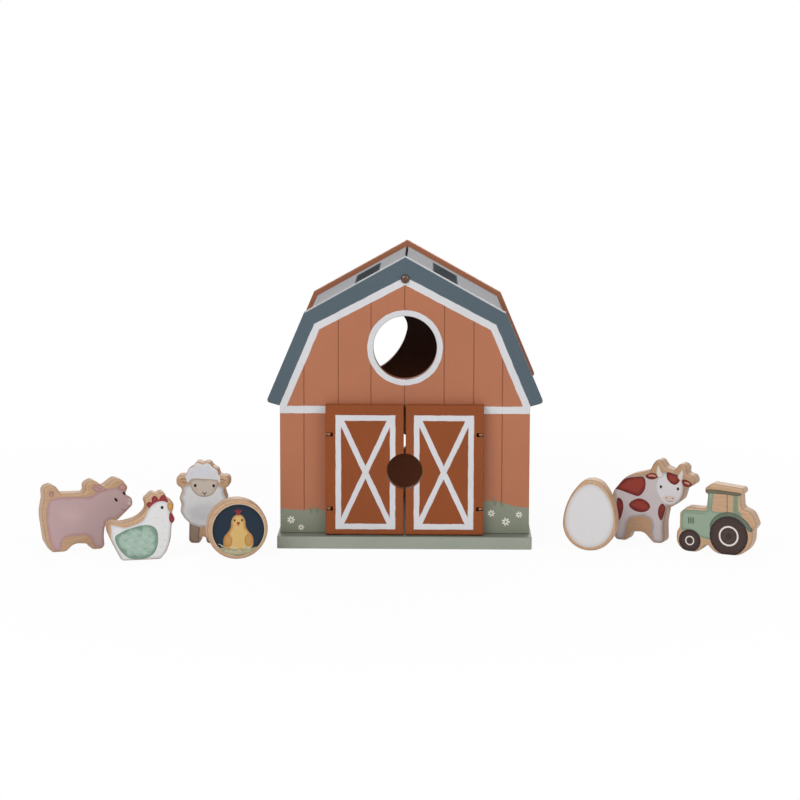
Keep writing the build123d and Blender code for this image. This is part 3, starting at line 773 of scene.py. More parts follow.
def bareWood(name, light, dark, turn=0.0, grainTurn=0.0):
    # clear-lacquered wood with its grain turned to the block's own axes
    material, tree, shader = makeMaterial(name)
    coordinates, normal = surface(tree)
    real = mapped(tree, coordinates, (1000, 1000, 1000), (0, 0, -turn))
    along = mapped(tree, real, rotation=(0, grainTurn, 0))
    burnt = tuple(part * wood["burnt"] for part in dark)
    grain = place(tree, woodGrain, vector=along, ringWidth=wood["ringWidth"], wander=1.0)
    wear = place(tree, edgeWear, vector=real, radius=0.0005, breakup=0.5)
    colour = lay(tree, srgb(light), dark, grain["Rings"], wood["rings"])
    colour = lay(tree, colour, dark, grain["Fibre"], wood["fibre"])
    colour = lay(tree, colour, burnt, grain["Pores"], wood["pores"])
    # the saw has darkened the sharp edges; the line along the rounding, most of all where it begins at the side and
    # turns away from the face, is a painted shade
    toFront = calc(tree, "ABSOLUTE", split(tree, mapped(tree, normal, rotation=(0, 0, -turn)))[1])
    line = times(tree, ramp(tree, toFront, 0.02, 0.16), ramp(tree, toFront, 0.4, 0.75, 1.0, 0.0))
    line = times(tree, line, calc(tree, "MULTIPLY_ADD", noise(tree, real, 0.3, 3, 0.6), 0.8, 0.25))
    colour = lay(tree, colour, burnt, calc(tree, "MAXIMUM", line, wear["Mask"]), wood["sawn"])
    feed(tree, colour, shader.inputs["Base Color"])
    feed(tree, calc(tree, "MULTIPLY_ADD", grain["Fibre"], 0.25, 0.36), shader.inputs["Roughness"])
    height = minus(tree, times(tree, grain["Fibre"], 0.6), grain["Pores"])
    feed(tree, bump(tree, height, wood["bump"], wood["bumpDepth"], wear["Normal"]), shader.inputs["Normal"])
    shader.inputs["Coat Weight"].default_value = wood["lacquer"]
    shader.inputs["Coat Roughness"].default_value = wood["lacquerRoughness"]
    return material


dress(["front_ridge_screw", "back_ridge_screw"], metalFinish("antiqueBronze"))
dress(["left_hinge_eyes", "right_hinge_eyes"], metalFinish("warmBrass"))
dress(["left_door_pin", "right_door_pin", "base_screws"], metalFinish("zincSteel"))
dress(["wall_dowels"], bareWood("dowelWood", wood["dowel"], wood["dowelDark"], 0, pi / 2))
print("metal and dowels done")


# The blocks: wood, and the prints on both faces

blocks = {
    "thickness": 15.0,
    "rounding": 2.2,
    "printEdge": 0.5,     # mm of bare rounding that a print leaves
    "lift": 0.03,         # mm between the wood and the first ink, and between inks
    "grid": 1.6,          # mm between the points of a print
    "edgeReach": 3.0,     # mm from the block's side in which a print gets the rounding's rings
    "edgeRings": (0.8, 1.2, 1.7, 2.2, 2.7),
    "outlineStep": 1.2,
    "stands": {           # foot of the front face in mm, turn and lean in degrees, turn of the grain
        "pig": (-255.1, -113.0, 23.2, 0, 0.06),
        "hen": (-207.1, -151.1, 14.0, 0, 1.5),
        "sheep": (-164.8, -84.7, -2.5, 0, 1.62),
        "chick": (-131.6, -145.8, 11.0, 0, 0.1),
        "egg": (149.2, -106.2, -13.5, -2.7, 1.55),
        "cow": (204.4, -73.1, -24.3, 0, -0.05),
        "tractor": (250.1, -116.0, -24.8, 0, 0.03),
    },
}

blockNodes = {
    "pig": "pig_block", "hen": "hen_block", "sheep": "sheep_block", "chick": "chick_disc",
    "egg": "egg_block", "cow": "cow_block", "tractor": "tractor_block",
}


def sidesOf(loop):
    return list(zip(loop, loop[1:] + loop[:1]))


def divided(sides, step):
    # the sides of a line with points at most step apart
    even = []
    for (ax, az), (bx, bz) in sides:
        pieces = max(1, ceil(hypot(bx - ax, bz - az) / step))
        even += [(ax + (bx - ax) * k / pieces, az + (bz - az) * k / pieces) for k in range(pieces)]
    return even


def smoothCurve(points, step=1.0, closed=True):
    # an even curve through the given points
    count = len(points)
    curve = []
    for index in range(count if closed else count - 1):
        picks = [index + shift for shift in (-1, 0, 1, 2)]
        if closed:
            before, start, end, after = (points[pick % count] for pick in picks)
        else:
            before, start, end, after = (points[min(max(pick, 0), count - 1)] for pick in picks)
        pieces = max(1, ceil(hypot(end[0] - start[0], end[1] - start[1]) / step))
        for piece in range(pieces):
            t = piece / pieces
            curve.append(tuple(
                0.5 * (2 * start[a] + (end[a] - before[a]) * t
                       + (2 * before[a] - 5 * start[a] + 4 * end[a] - after[a]) * t ** 2
                       + (3 * start[a] - before[a] - 3 * end[a] + after[a]) * t ** 3)
                for a in (0, 1)))
    if not closed:
        curve.append(tuple(points[-1]))
    return curve


def oval(x, z, halfWidth, halfHeight, lean=0.0, count=28):
    tilt = radians(lean)
    points = []
    for index in range(count):
        a = 2 * pi * index / count
        across, up = halfWidth * cos(a), halfHeight * sin(a)
        points.append((x + across * cos(tilt) - up * sin(tilt), z + across * sin(tilt) + up * cos(tilt)))
    return points


def isInside(point, loop):
    x, z = point
    inside = False
    for (ax, az), (bx, bz) in sidesOf(loop):
        if (az > z) != (bz > z) and x < (bx - ax) * (z - az) / (bz - az) + ax:
            inside = not inside
    return inside


def nearest(loop):
    # a lookup that gives the distance to a loop
    dense = divided(sidesOf(loop), 0.25)
    tree = KDTree(len(dense))
    for index, (x, z) in enumerate(dense):
        tree.insert((x, z, 0), index)
    tree.balance()
    return lambda point: tree.find((point[0], point[1], 0))[2]


def insetLoop(loop, depth):
    # the loop moved inwards; it runs anticlockwise
    moved = []
    for (ax, az), (x, z), (bx, bz) in zip(loop[-1:] + loop[:-1], loop, loop[1:] + loop[:1]):
        length = hypot(bx - ax, bz - az)
        moved.append((x - (bz - az) / length * depth, z + (bx - ax) / length * depth))
    return moved


def readBlock(shape):
    # the block's outline, its surface and its axes, taken from the CAD node
    footX, footY, turn, lean, grain = blocks["stands"][shape]
    yaw = radians(turn)
    foot = Vector((footX, footY, 0))
    axes = Matrix(((cos(yaw), sin(yaw), 0), (-sin(yaw), cos(yaw), 0), (0, 0, 1)))  # to across, depth, up
    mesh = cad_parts[blockNodes[shape]].data
    local = [axes @ (vertex.co * 1000 - foot) for vertex in mesh.vertices]
    surfaceTree = BVHTree.FromPolygons(local, [tuple(face.vertices) for face in mesh.polygons])

    # the line where the rounding meets the block's side
    links = {}
    for edge in mesh.edges:
        ends = [local[index] for index in edge.vertices]
        if all(abs(end.y - blocks["rounding"]) < 0.02 for end in ends):
            a, b = ((round(end.x, 2), round(end.z, 2)) for end in ends)
            if a != b:
                links.setdefault(a, set()).add(b)
                links.setdefault(b, set()).add(a)
    start = min(links)
    loop, before, here = [], None, start
    while not loop or (here != start and len(loop) < len(links)):
        loop.append(here)
        onward = [spot for spot in links[here] if spot != before]
        before, here = here, onward[0]
    if sum(ax * bz - bx * az for (ax, az), (bx, bz) in sidesOf(loop)) < 0:
        loop.reverse()
    even = divided(sidesOf(loop), blocks["outlineStep"])
    print(shape, "outline of", len(loop), "points")
    return {
        "shape": shape, "foot": foot, "axes": axes.transposed(), "surface": surfaceTree,
        "outline": even, "edge": insetLoop(even, blocks["printEdge"]), "fromOutline": nearest(even),
        "points": [], "rims": [], "faces": [], "inks": [], "materials": [],
    }


def depthAt(block, point):
    # how deep below the front face the wood lies, by the block's own surface
    hit = block["surface"].ray_cast(Vector((point[0], -5, point[1])), Vector((0, 1, 0)))[0]
    return min(hit.y, blocks["rounding"]) if hit else blocks["rounding"]


def addShape(block, points, rims, faces, ink, layer):
    start = len(block["points"])
    lift = blocks["lift"] * layer
    block["points"] += [(x, depthAt(block, (x, z)) - lift, z) for x, z in points]
    block["rims"] += rims
    block["faces"] += [tuple(start + index for index in face) for face in faces]
    if ink not in block["materials"]:
        block["materials"].append(ink)
    block["inks"] += [block["materials"].index(ink)] * len(faces)


def addPatch(block, loop, ink, layer=1):
    # a filled shape of one ink, cut to the face and laid over its rounding
    edge, grid = block["edge"], blocks["grid"]
    near = min(block["fromOutline"](point) for point in loop) < blocks["edgeReach"]
    xs, zs = [x for x, z in loop], [z for x, z in loop]
    points = [Vector(point) for point in loop]
    edges = [(index, (index + 1) % len(loop)) for index in range(len(loop))]
    if near:
        for depth in (blocks["printEdge"],) + blocks["edgeRings"]:
            ring = insetLoop(block["outline"], depth)
            first = len(points)
            points += [Vector(point) for point in ring]
            edges += [(first + index, first + (index + 1) % len(ring)) for index in range(len(ring))]
    rows = int((max(zs) - min(zs)) / grid)
    columns = int((max(xs) - min(xs)) / grid)
    for row in range(rows + 1):
        for column in range(columns + 1):
            spot = (min(xs) + (column + 0.5 * (row % 2)) * grid, min(zs) + row * grid)
            deep = block["fromOutline"](spot) > blocks["edgeReach"]
            if deep and isInside(spot, edge) and isInside(spot, loop):
                points.append(Vector(spot))
    made = delaunay_2d_cdt(points, edges, [], 0, 1e-5)
    flat, triangles = [(v.x, v.y) for v in made[0]], made[2]
    toLoop, toEdge = nearest(loop), nearest(edge)
    kept = []
    for triangle in triangles:
        middle = tuple(sum(flat[index][a] for index in triangle) / 3 for a in (0, 1))
        if isInside(middle, loop) and (not near or isInside(middle, edge)):
            kept.append(triangle)
    used = sorted({index for triangle in kept for index in triangle})
    number = {index: count for count, index in enumerate(used)}
    shapePoints = [flat[index] for index in used]
    rims = [min(toLoop(point), toEdge(point)) if near else toLoop(point) for point in shapePoints]
    turned = []
    for a, b, c in kept:
        (ax, az), (bx, bz), (cx, cz) = flat[a], flat[b], flat[c]
        if (bx - ax) * (cz - az) - (cx - ax) * (bz - az) <= 0:
            b, c = c, b
        turned.append((number[a], number[b], number[c]))
    addShape(block, shapePoints, rims, turned, ink, layer)


def addForm(block, corners, ink, layer=1):
    addPatch(block, smoothCurve(corners), ink, layer)


def addStroke(block, points, width, ink, layer=3, taper=0.5):
    # a brush stroke: a ribbon along a curve, thinner towards its ends
    curve = smoothCurve(points, 0.7, closed=False)
    flat, rims, faces = [], [], []
    count = len(curve)
    for index, (x, z) in enumerate(curve):
        ax, az = curve[max(index - 1, 0)]
        bx, bz = curve[min(index + 1, count - 1)]
        length = max(hypot(bx - ax, bz - az), 1e-6)
        t = index / (count - 1)
        half = width / 2 * (1 - taper + taper * sin(pi * t) ** 0.6)
        nx, nz = -(bz - az) / length, (bx - ax) / length
        flat += [(x + nx * half, z + nz * half), (x - nx * half, z - nz * half)]
        rims += [0.3, 0.3]
        if index:
            a = 2 * index
            faces.append((a - 2, a - 1, a + 1, a))
    addShape(block, flat, rims, faces, ink, layer)


def printInk(name, middle, edge=None, reach=0.5, mottle=0.35, cloudSize=9.0, grainShare=0.16):
    # ink that goes from the edge colour to the middle colour over reach mm
    material, tree, shader = makeMaterial(name)
    real = mapped(tree, surface(tree)[0], (1000, 1000, 1000))
    texture = place(tree, inkMottle, vector=real, cloudSize=cloudSize)
    rim = tree.nodes.new("ShaderNodeAttribute")
    rim.attribute_name = "rim"
    shift = times(tree, minus(tree, texture["Tone"], 0.5), reach * mottle * 2)
    share = ramp(tree, plus(tree, rim.outputs["Fac"], shift), 0.0, reach)
    colour = lay(tree, srgb(edge or middle), middle, share)
    tone = calc(tree, "MULTIPLY_ADD", minus(tree, texture["Grain"], 0.5), 0.8, 1.0)
    colour = mixColour(tree, grainShare, colour, tone, "MULTIPLY")
    feed(tree, colour, shader.inputs["Base Color"])
    feed(tree, calc(tree, "MULTIPLY_ADD", texture["Grain"], 0.2, 0.42), shader.inputs["Roughness"])
    feed(tree, bump(tree, texture["Height"], 0.3, 0.03), shader.inputs["Normal"])
    shader.inputs["Specular IOR Level"].default_value = 0.2
    return material


def mixInks(inks):
    # an ink has its colour, its colour at the edge or the ink it runs into, and the mm that this takes;
    # where they aren't the usual ones, also its mottle, the size of its clouds and the share of grain
    made = []
    for name, (middle, *rest) in inks.items():
        if rest and isinstance(rest[0], str):
            rest[0] = inks[rest[0]][0]
        made.append(printInk(name, middle, *rest))
    return made


def finishBlock(block):
    # one mesh for the front print and its twin on the back
    count = len(block["points"])
    depth = blocks["thickness"]
    local = block["points"] + [(x, depth - y, z) for x, y, z in block["points"]]
    mesh = bpy.data.meshes.new(block["shape"] + "Print")
    mesh.from_pydata(
        [(block["axes"] @ Vector(point) + block["foot"]) * mm for point in local], [],
        block["faces"] + [tuple(count + index for index in reversed(face)) for face in block["faces"]])
    for ink in block["materials"]:
        mesh.materials.append(ink)
    mesh.polygons.foreach_set("material_index", block["inks"] * 2)
    mesh.polygons.foreach_set("use_smooth", [True] * len(mesh.polygons))
    rim = mesh.attributes.new("rim", "FLOAT", "POINT")
    rim.data.foreach_set("value", block["rims"] * 2)
    piece = addObject(block["shape"] + "Print", mesh)
    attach(piece, block["shape"] + "_body")
    print(block["shape"], "printed with", len(mesh.polygons), "faces")


for shape, (_, _, turn, _, grainTurn) in blocks["stands"].items():
    light = wood.get(shape, wood["light"])
    dress([blockNodes[shape]], bareWood(shape + "Wood", light, wood["dark"], radians(turn), grainTurn))

darkInk = printInk("eyeInk", (42, 32, 31))


# Pig

pig = {
    "inks": {
        "pigPink": ((186, 158, 159), (174, 138, 137), 3.4, 0.6),
        "pigGlow": ((192, 164, 164), "pigPink", 10.0),
        "pigEar": ((186, 148, 145), (160, 116, 114), 1.2),
        "pigLine": ((140, 98, 96),),
        "pigSnout": ((214, 194, 188), "pigEar", 1.4),
    },
    "body": [
        (-27.4, 1.4), (-31.2, 7.8), (-32.8, 16.7), (-34.0, 25.7), (-33.9, 33.8), (-32.6, 40.1), (-29.6, 43.6),
        (-21.6, 45.0), (-9.8, 44.4), (-0.6, 43.8), (4.8, 45.2), (8.8, 48.0), (14.2, 49.0), (19.6, 49.4),
        (25.3, 49.6), (29.2, 47.8), (32.4, 44.6), (35.8, 41.4), (37.0, 37.8), (35.8, 33.8), (32.2, 30.0),
        (26.8, 26.4), (20.2, 24.2), (15.6, 22.0), (13.9, 17.0), (13.5, 10.3), (13.4, 4.2), (11.2, 1.8),
        (6.4, 2.0), (4.1, 4.8), (2.2, 9.0), (-1.2, 12.0), (-7.4, 12.6), (-15.0, 12.2), (-20.0, 10.6),
        (-21.9, 7.0), (-22.4, 3.0), (-24.6, 1.2)],
}


def printPig():
    block = readBlock("pig")
    pink, glow, ear, line, snout = mixInks(pig["inks"])
    addForm(block, pig["body"], pink)
    addPatch(block, oval(-14.0, 30.0, 14.5, 10.5, -12, 44), glow, 2)
    addForm(block, [
        (3.8, 50.4), (5.6, 52.6), (9.4, 52.8), (13.2, 50.8), (15.6, 48.2), (11.2, 47.4), (6.4, 48.0)], ear, 2)
    addStroke(block, [(5.6, 50.6), (8.4, 50.6), (11.6, 49.4)], 0.5, line)
    addForm(block, [(25.8, 50.2), (29.0, 52.4), (32.0, 50.6), (31.8, 48.0), (28.6, 47.4), (26.0, 48.4)], ear, 2)
    addPatch(block, oval(34.6, 37.2, 2.1, 3.4, 16), snout, 2)
    addPatch(block, oval(33.8, 38.1, 0.42, 0.75, 10, 14), line, 3)
    addPatch(block, oval(35.4, 36.8, 0.36, 0.66, 10, 14), line, 3)
    addPatch(block, oval(23.6, 39.7, 1.0, 1.9, 36, 20), darkInk, 4)
    addPatch(block, oval(30.4, 44.6, 0.95, 1.6, 36, 20), darkInk, 4)
    addStroke(block, [(27.6, 32.0), (29.4, 30.9), (31.4, 31.1)], 0.45, line)
    addPatch(block, oval(-29.6, 48.0, 2.0, 2.6, 10, 24), ear, 2)
    addStroke(block, [(-30.8, 46.4), (-30.6, 49.0), (-29.0, 49.4), (-28.6, 47.8), (-29.6, 47.2)], 0.5, line)
    finishBlock(block)


# Hen

hen = {
    "inks": {
        "henWhite": ((218, 217, 217), (196, 194, 196), 2.6),
        "henWing": ((160, 182, 168), (112, 138, 121), 5.0, 1.0, 5.0, 0.2),
        "henFeatherPale": ((184, 202, 190), "henWing", 0.6),
        "henFeatherDark": ((120, 148, 130), "henWing", 0.6),
        "henComb": ((148, 54, 60), (116, 36, 46), 1.4),
        "henBeak": ((200, 152, 92), (168, 118, 66), 1.2),
        "henShade": ((196, 194, 196),),
    },
    "body": [
        (-15.6, 0.9), (-19.8, 5.6), (-23.6, 12.6), (-24.4, 18.9), (-24.4, 24.6), (-24.0, 29.2), (-19.8, 28.4),
        (-14.0, 27.0), (-8.7, 27.8), (-3.4, 29.6), (0.6, 31.8), (3.0, 35.2), (4.8, 39.4), (7.6, 43.2),
        (11.0, 45.8), (15.2, 47.0), (19.4, 46.2), (21.4, 43.6), (21.8, 40.0), (22.6, 36.6), (23.2, 31.7),
        (23.4, 27.0), (22.7, 21.0), (21.4, 13.2), (18.8, 6.4), (14.8, 1.4), (8.0, 0.7), (-4.0, 0.6)],
    "wingShape": [
        (-21.2, 19.6), (-16.6, 23.0), (-11.8, 25.2), (-6.0, 26.8), (0.0, 28.2), (5.6, 28.2), (10.0, 26.2),
        (12.4, 22.4), (12.9, 17.0), (12.2, 11.0), (9.8, 5.8), (5.4, 2.4), (-0.2, 1.1), (-6.2, 1.2),
        (-11.6, 3.0), (-16.0, 7.2), (-19.6, 12.8)],
    # rows of feathers: from, to, height
    "featherRows": [(-16.0, 9.0, 21.0), (-14.6, 10.2, 16.0), (-12.6, 9.6, 11.0), (-9.0, 7.4, 6.2)],
    "chestTicks": [(17.0, 32.0), (19.0, 26.0), (16.6, 21.0), (18.6, 15.4), (15.4, 10.4), (12.0, 34.0)],
}


def printHen():
    block = readBlock("hen")
    white, wing, pale, dark, red, beak, shade = mixInks(hen["inks"])
    addForm(block, [
        (5.8, 42.0), (4.0, 45.0), (5.8, 46.8), (8.2, 46.4), (8.2, 49.4), (10.4, 51.6), (12.6, 50.0), (13.8, 48.2),
        (15.4, 50.8), (17.8, 52.0), (19.8, 50.0), (20.8, 46.0), (15.0, 45.0), (10.0, 43.2)], red, 1)
    addForm(block, hen["body"], white, 2)
    addForm(block, hen["wingShape"], wing, 3)
    addForm(block, [(20.6, 44.4), (22.6, 45.0), (25.2, 43.4), (24.6, 41.0), (22.6, 38.8), (20.8, 41.0)], beak, 3)
    addForm(block, [(22.6, 37.6), (24.8, 35.0), (25.6, 31.8), (24.2, 29.2), (22.4, 30.2), (21.8, 33.6)], red, 4)
    addPatch(block, oval(16.3, 41.8, 1.15, 1.35, 0, 20), darkInk, 4)
    for row, (start, end, height) in enumerate(hen["featherRows"]):
        count = 6 - row // 2
        step = (end - start) / count
        for index in range(count):
            x = start + step * (index + 0.5)
            z = height + 1.4 * sin(index * 1.1 + row)
            tick = [(x - step * 0.42, z + 1.0), (x - step * 0.1, z - 1.3), (x + step * 0.32, z + 0.5)]
            addStroke(block, tick, 0.9 + 0.4 * sin(index * 2.3 + row), (pale, dark)[(index + row) % 2], 4)
    for x, z in hen["chestTicks"]:
        addStroke(block, [(x - 1.1, z + 0.7), (x, z - 0.7), (x + 1.1, z + 0.5)], 0.42, shade, 3)
    finishBlock(block)


# Sheep

sheep = {
    "inks": {
        "sheepWool": ((211, 210, 212), (180, 175, 177), 3.2),
        "sheepShade": ((197, 196, 200), "sheepWool", 7.0),
        "sheepCap": ((208, 210, 217), "sheepWool", 5.0),
        "sheepCurl": ((196, 194, 198), "sheepWool", 0.5),
        "sheepFace": ((194, 181, 170), (164, 147, 136), 2.4),
        "sheepLeg": ((150, 130, 113), (118, 94, 78), 2.0),
        "sheepLine": ((120, 96, 84),),
        "sheepNose": ((86, 66, 60),),
        "sheepCheek": ((188, 152, 140), "sheepFace", 1.8),
    },
    "body": [
        (-15.5, 46.8), (-16.2, 42.4), (-18.3, 38.0), (-16.8, 34.6), (-16.7, 31.2), (-18.1, 27.2), (-16.6, 23.6),
        (-14.7, 20.2), (-11.7, 17.0), (-6.8, 15.0), (-2.3, 13.6), (0.3, 14.6), (2.9, 13.6), (7.4, 15.0),
        (12.3, 17.0), (15.3, 20.2), (17.2, 23.6), (18.7, 27.2), (17.3, 31.2), (17.4, 34.6), (18.9, 38.0),
        (16.8, 42.4), (16.1, 46.8), (6.7, 50.0), (-6.1, 50.0)],
    "cap": [
        (-12.4, 50.6), (-14.0, 56.4), (-12.6, 60.4), (-9.6, 62.6), (-8.4, 64.6), (-5.2, 66.8), (-2.4, 66.4),
        (0.2, 65.4), (3.2, 66.8), (6.0, 66.0), (8.8, 64.2), (10.2, 61.8), (12.8, 60.0), (14.4, 56.0), (13.8, 50.2),
        (12.0, 52.8), (6.8, 53.6), (0.6, 53.8), (-5.4, 54.1), (-9.6, 53.4)],
    "faceShape": [
        (-10.1, 48.3), (-10.3, 52.3), (-4.7, 53.9), (1.0, 53.5), (6.7, 53.9), (12.3, 52.3), (12.1, 48.3),
        (10.2, 43.7), (6.5, 40.2), (1.0, 38.7), (-4.5, 40.2), (-8.2, 43.7)],
    # curls: across, up, turn
    "bodyCurls": [
        (-9, 38, 0), (-3, 35, 1), (4, 36, 2), (10, 37, 3), (-11, 30, 4), (-5, 28, 5), (1, 30, 1), (7, 29, 0),
        (12, 28, 2), (-8, 22, 3), (-2, 21, 0), (4, 22, 4), (9, 21, 5), (-3, 17, 2), (4, 17, 1)],
    "capCurls": [(-8, 58, 1), (-1.5, 59.5, 0), (5.5, 58.5, 2), (-4, 63.4, 3), (4.2, 63.2, 4), (10.4, 57.0, 0)],
}


def addCurl(block, x, z, turn, halfWidth, ink, layer):
    halfHeight = halfWidth - 0.2
    curve = [(x + halfWidth * cos(turn + t), z + halfHeight * sin(turn + t)) for t in (0, 1.1, 2.2, 3.3, 4.2)]
    addStroke(block, curve, 0.45, ink, layer)


def printSheep():
    block = readBlock("sheep")
    wool, shade, capWool, curl, face, leg, line, noseInk, cheek = mixInks(sheep["inks"])
    for side in (-1, 1):
        addForm(block, [
            (side * 3.2, 17.0), (side * 3.2, 8.0), (side * 3.6, 1.6), (side * 7.2, 0.9), (side * 10.6, 1.6),
            (side * 11.2, 8.0), (side * 11.0, 17.0)], leg, 1)
        addStroke(block, [(side * 12.4, 52.2), (side * 15.4, 53.6), (side * 18.8, 52.4)], 0.6, line, 1)
        addStroke(block, [(side * 12.2, 50.4), (side * 15.2, 50.6), (side * 18.2, 51.0)], 0.5, line, 1)
    addForm(block, sheep["body"], wool, 2)
    addPatch(block, oval(0.3, 26.2, 15.6, 10.4, 0, 44), shade, 3)
    addForm(block, sheep["faceShape"], face, 3)
    addForm(block, sheep["cap"], capWool, 4)
    for x, z, turn in sheep["bodyCurls"]:
        addCurl(block, x, z, turn * 1.05, 1.5, curl, 4)
    for x, z, turn in sheep["capCurls"]:
        addCurl(block, x, z, turn, 1.4, curl, 5)
    for side in (-1, 1):
        addPatch(block, oval(1.4 + side * 7.6, 48.2, 1.15, 1.4, 0, 18), darkInk, 4)
        addPatch(block, oval(1.4 + side * 6.8, 44.6, 1.8, 1.4, 0, 22), cheek, 4)
    addStroke(block, [(-0.4, 43.0), (1.4, 41.4), (3.2, 43.0)], 0.8, noseInk, 5, 0.3)
    addStroke(block, [(1.4, 41.6), (1.4, 39.8)], 0.7, noseInk, 5, 0.2)
    finishBlock(block)


# Round disc with a chick in its nest

chick = {
    "inks": {
        "discNavy": ((29, 43, 57), (23, 33, 44), 4.0),
        "discRim": ((206, 186, 162),),
        "chickDown": ((206, 172, 108), (172, 124, 72), 3.0, 0.6),
        "chickWing": ((188, 142, 82), (172, 124, 72), 1.8),
        "chickTuft": ((150, 50, 58), (120, 36, 46), 0.6),
        "nestStraw": ((206, 202, 178),),
        "nestShade": ((150, 146, 114),),
        "nestBowl": ((182, 174, 144), "nestShade", 2.4),
        "chickBeak": ((190, 92, 58), (160, 70, 50), 0.8),
    },
    "straws": 34,
    "strawReach": 18.9,
    "radius": 20.7,
    "middle": (0.5, 23.7),
}


def printChick():
    block = readBlock("chick")
    navy, rim, yellow, wing, tuft, straw, strawDark, nest, beak = mixInks(chick["inks"])
    x0, z0 = chick["middle"]
    addPatch(block, oval(x0, z0, chick["radius"] + 0.5, chick["radius"] + 0.5, 0, 90), rim, 1)
    addPatch(block, oval(x0, z0, chick["radius"], chick["radius"], 0, 90), navy, 2)
    addForm(block, [(x0 + x, z) for x, z in (
        (-10.6, 9.4), (-12.0, 13.6), (-11.2, 18.6), (-8.0, 22.6), (-6.0, 26.4), (-5.6, 30.8), (-3.8, 34.6),
        (0.0, 36.4), (3.8, 34.6), (5.6, 30.8), (6.0, 26.4), (8.0, 22.6), (11.2, 18.6), (12.0, 13.6), (10.6, 9.4),
        (5.0, 7.0), (-5.0, 7.0))], yellow, 3)
    for side in (-1, 1):
        addForm(block, [(x0 + side * x, z) for x, z in (
            (10.8, 18.4), (7.6, 20.6), (5.0, 16.8), (5.6, 11.8), (8.8, 10.4), (11.2, 13.8))], wing, 4)
        addPatch(block, oval(x0 + side * 2.9, 31.6, 0.75, 1.0, 0, 16), darkInk, 4)
        plume = [(x0 + side * 0.4, 35.6), (x0 + side * 1.2, 38.2), (x0 + side * 2.8, 39.6)]
        addStroke(block, plume, 1.3, tuft, 3)
    addStroke(block, [(x0, 35.6), (x0 + 0.1, 38.4), (x0 - 0.1, 40.8)], 1.4, tuft, 4)
    addPatch(block, smoothCurve([(x0 - 1.4, 30.0), (x0 + 1.4, 30.0), (x0, 27.2)], 0.5), beak, 4)
    addForm(block, [(x0 + x, z) for x, z in (
        (-15.2, 9.8), (-9.0, 8.6), (0.0, 8.2), (9.0, 8.6), (15.2, 9.8), (12.0, 6.4), (6.6, 4.1), (0.0, 3.4),
        (-6.6, 4.1), (-12.0, 6.4))], nest, 5)
    count = chick["straws"]
    for index in range(count):
        x = -14.4 + 28.8 * ((index * 7) % count) / count
        z = 4.4 + 5.4 * ((index * 13) % count) / count + 0.012 * x * x
        if hypot(x, z - z0) > chick["strawReach"]:
            continue
        lean = 0.05 * x / 3 + 0.4 * sin(index * 2.3)
        length = 1.9 + 0.9 * sin(index * 1.7)
        ends = ((-1, 0), (0, 0.4), (1, 0))
        stalk = [(x0 + x + side * length, z + side * length * lean + lift) for side, lift in ends]
        addStroke(block, stalk, 0.5, straw if index % 3 else strawDark, 6)
    finishBlock(block)


# Egg

egg = {
    "inks": {
        "eggShell": ((211, 209, 210), (196, 192, 191), 3.6, 0.35, 14.0, 0.12),
        "eggSpeck": ((196, 188, 182),),
    },
    "halfWidth": 19.5,
    "top": 54.9,
    "bottom": 2.9,
    "leanUp": 21.8,  # height of the middle of the egg's fat end, about which it leans
    "specks": [(-6.0, 38.0, 0.35), (4.5, 43.0, 0.3), (8.0, 30.0, 0.4), (-9.0, 22.0, 0.35), (2.0, 16.0, 0.3),
               (-2.0, 30.5, 0.25)],
}


def printEgg():
    block = readBlock("egg")
    shell, speck = mixInks(egg["inks"])
    lean = radians(blocks["stands"]["egg"][3])
    middle, half = (egg["top"] + egg["bottom"]) / 2, (egg["top"] - egg["bottom"]) / 2
    loop = []
    for index in range(72):
        a = 2 * pi * index / 72
        # narrower towards its top
        x = egg["halfWidth"] * cos(a) * (1 - 0.13 * sin(a) - 0.02 * sin(a) ** 2)
        z = middle + half * sin(a) - egg["leanUp"]
        loop.append((x * cos(lean) - z * sin(lean), x * sin(lean) + z * cos(lean) + egg["leanUp"]))
    addPatch(block, loop, shell)
    for x, z, size in egg["specks"]:
        addPatch(block, oval(x, z, size, size, 0, 10), speck, 2)
    finishBlock(block)


# Cow

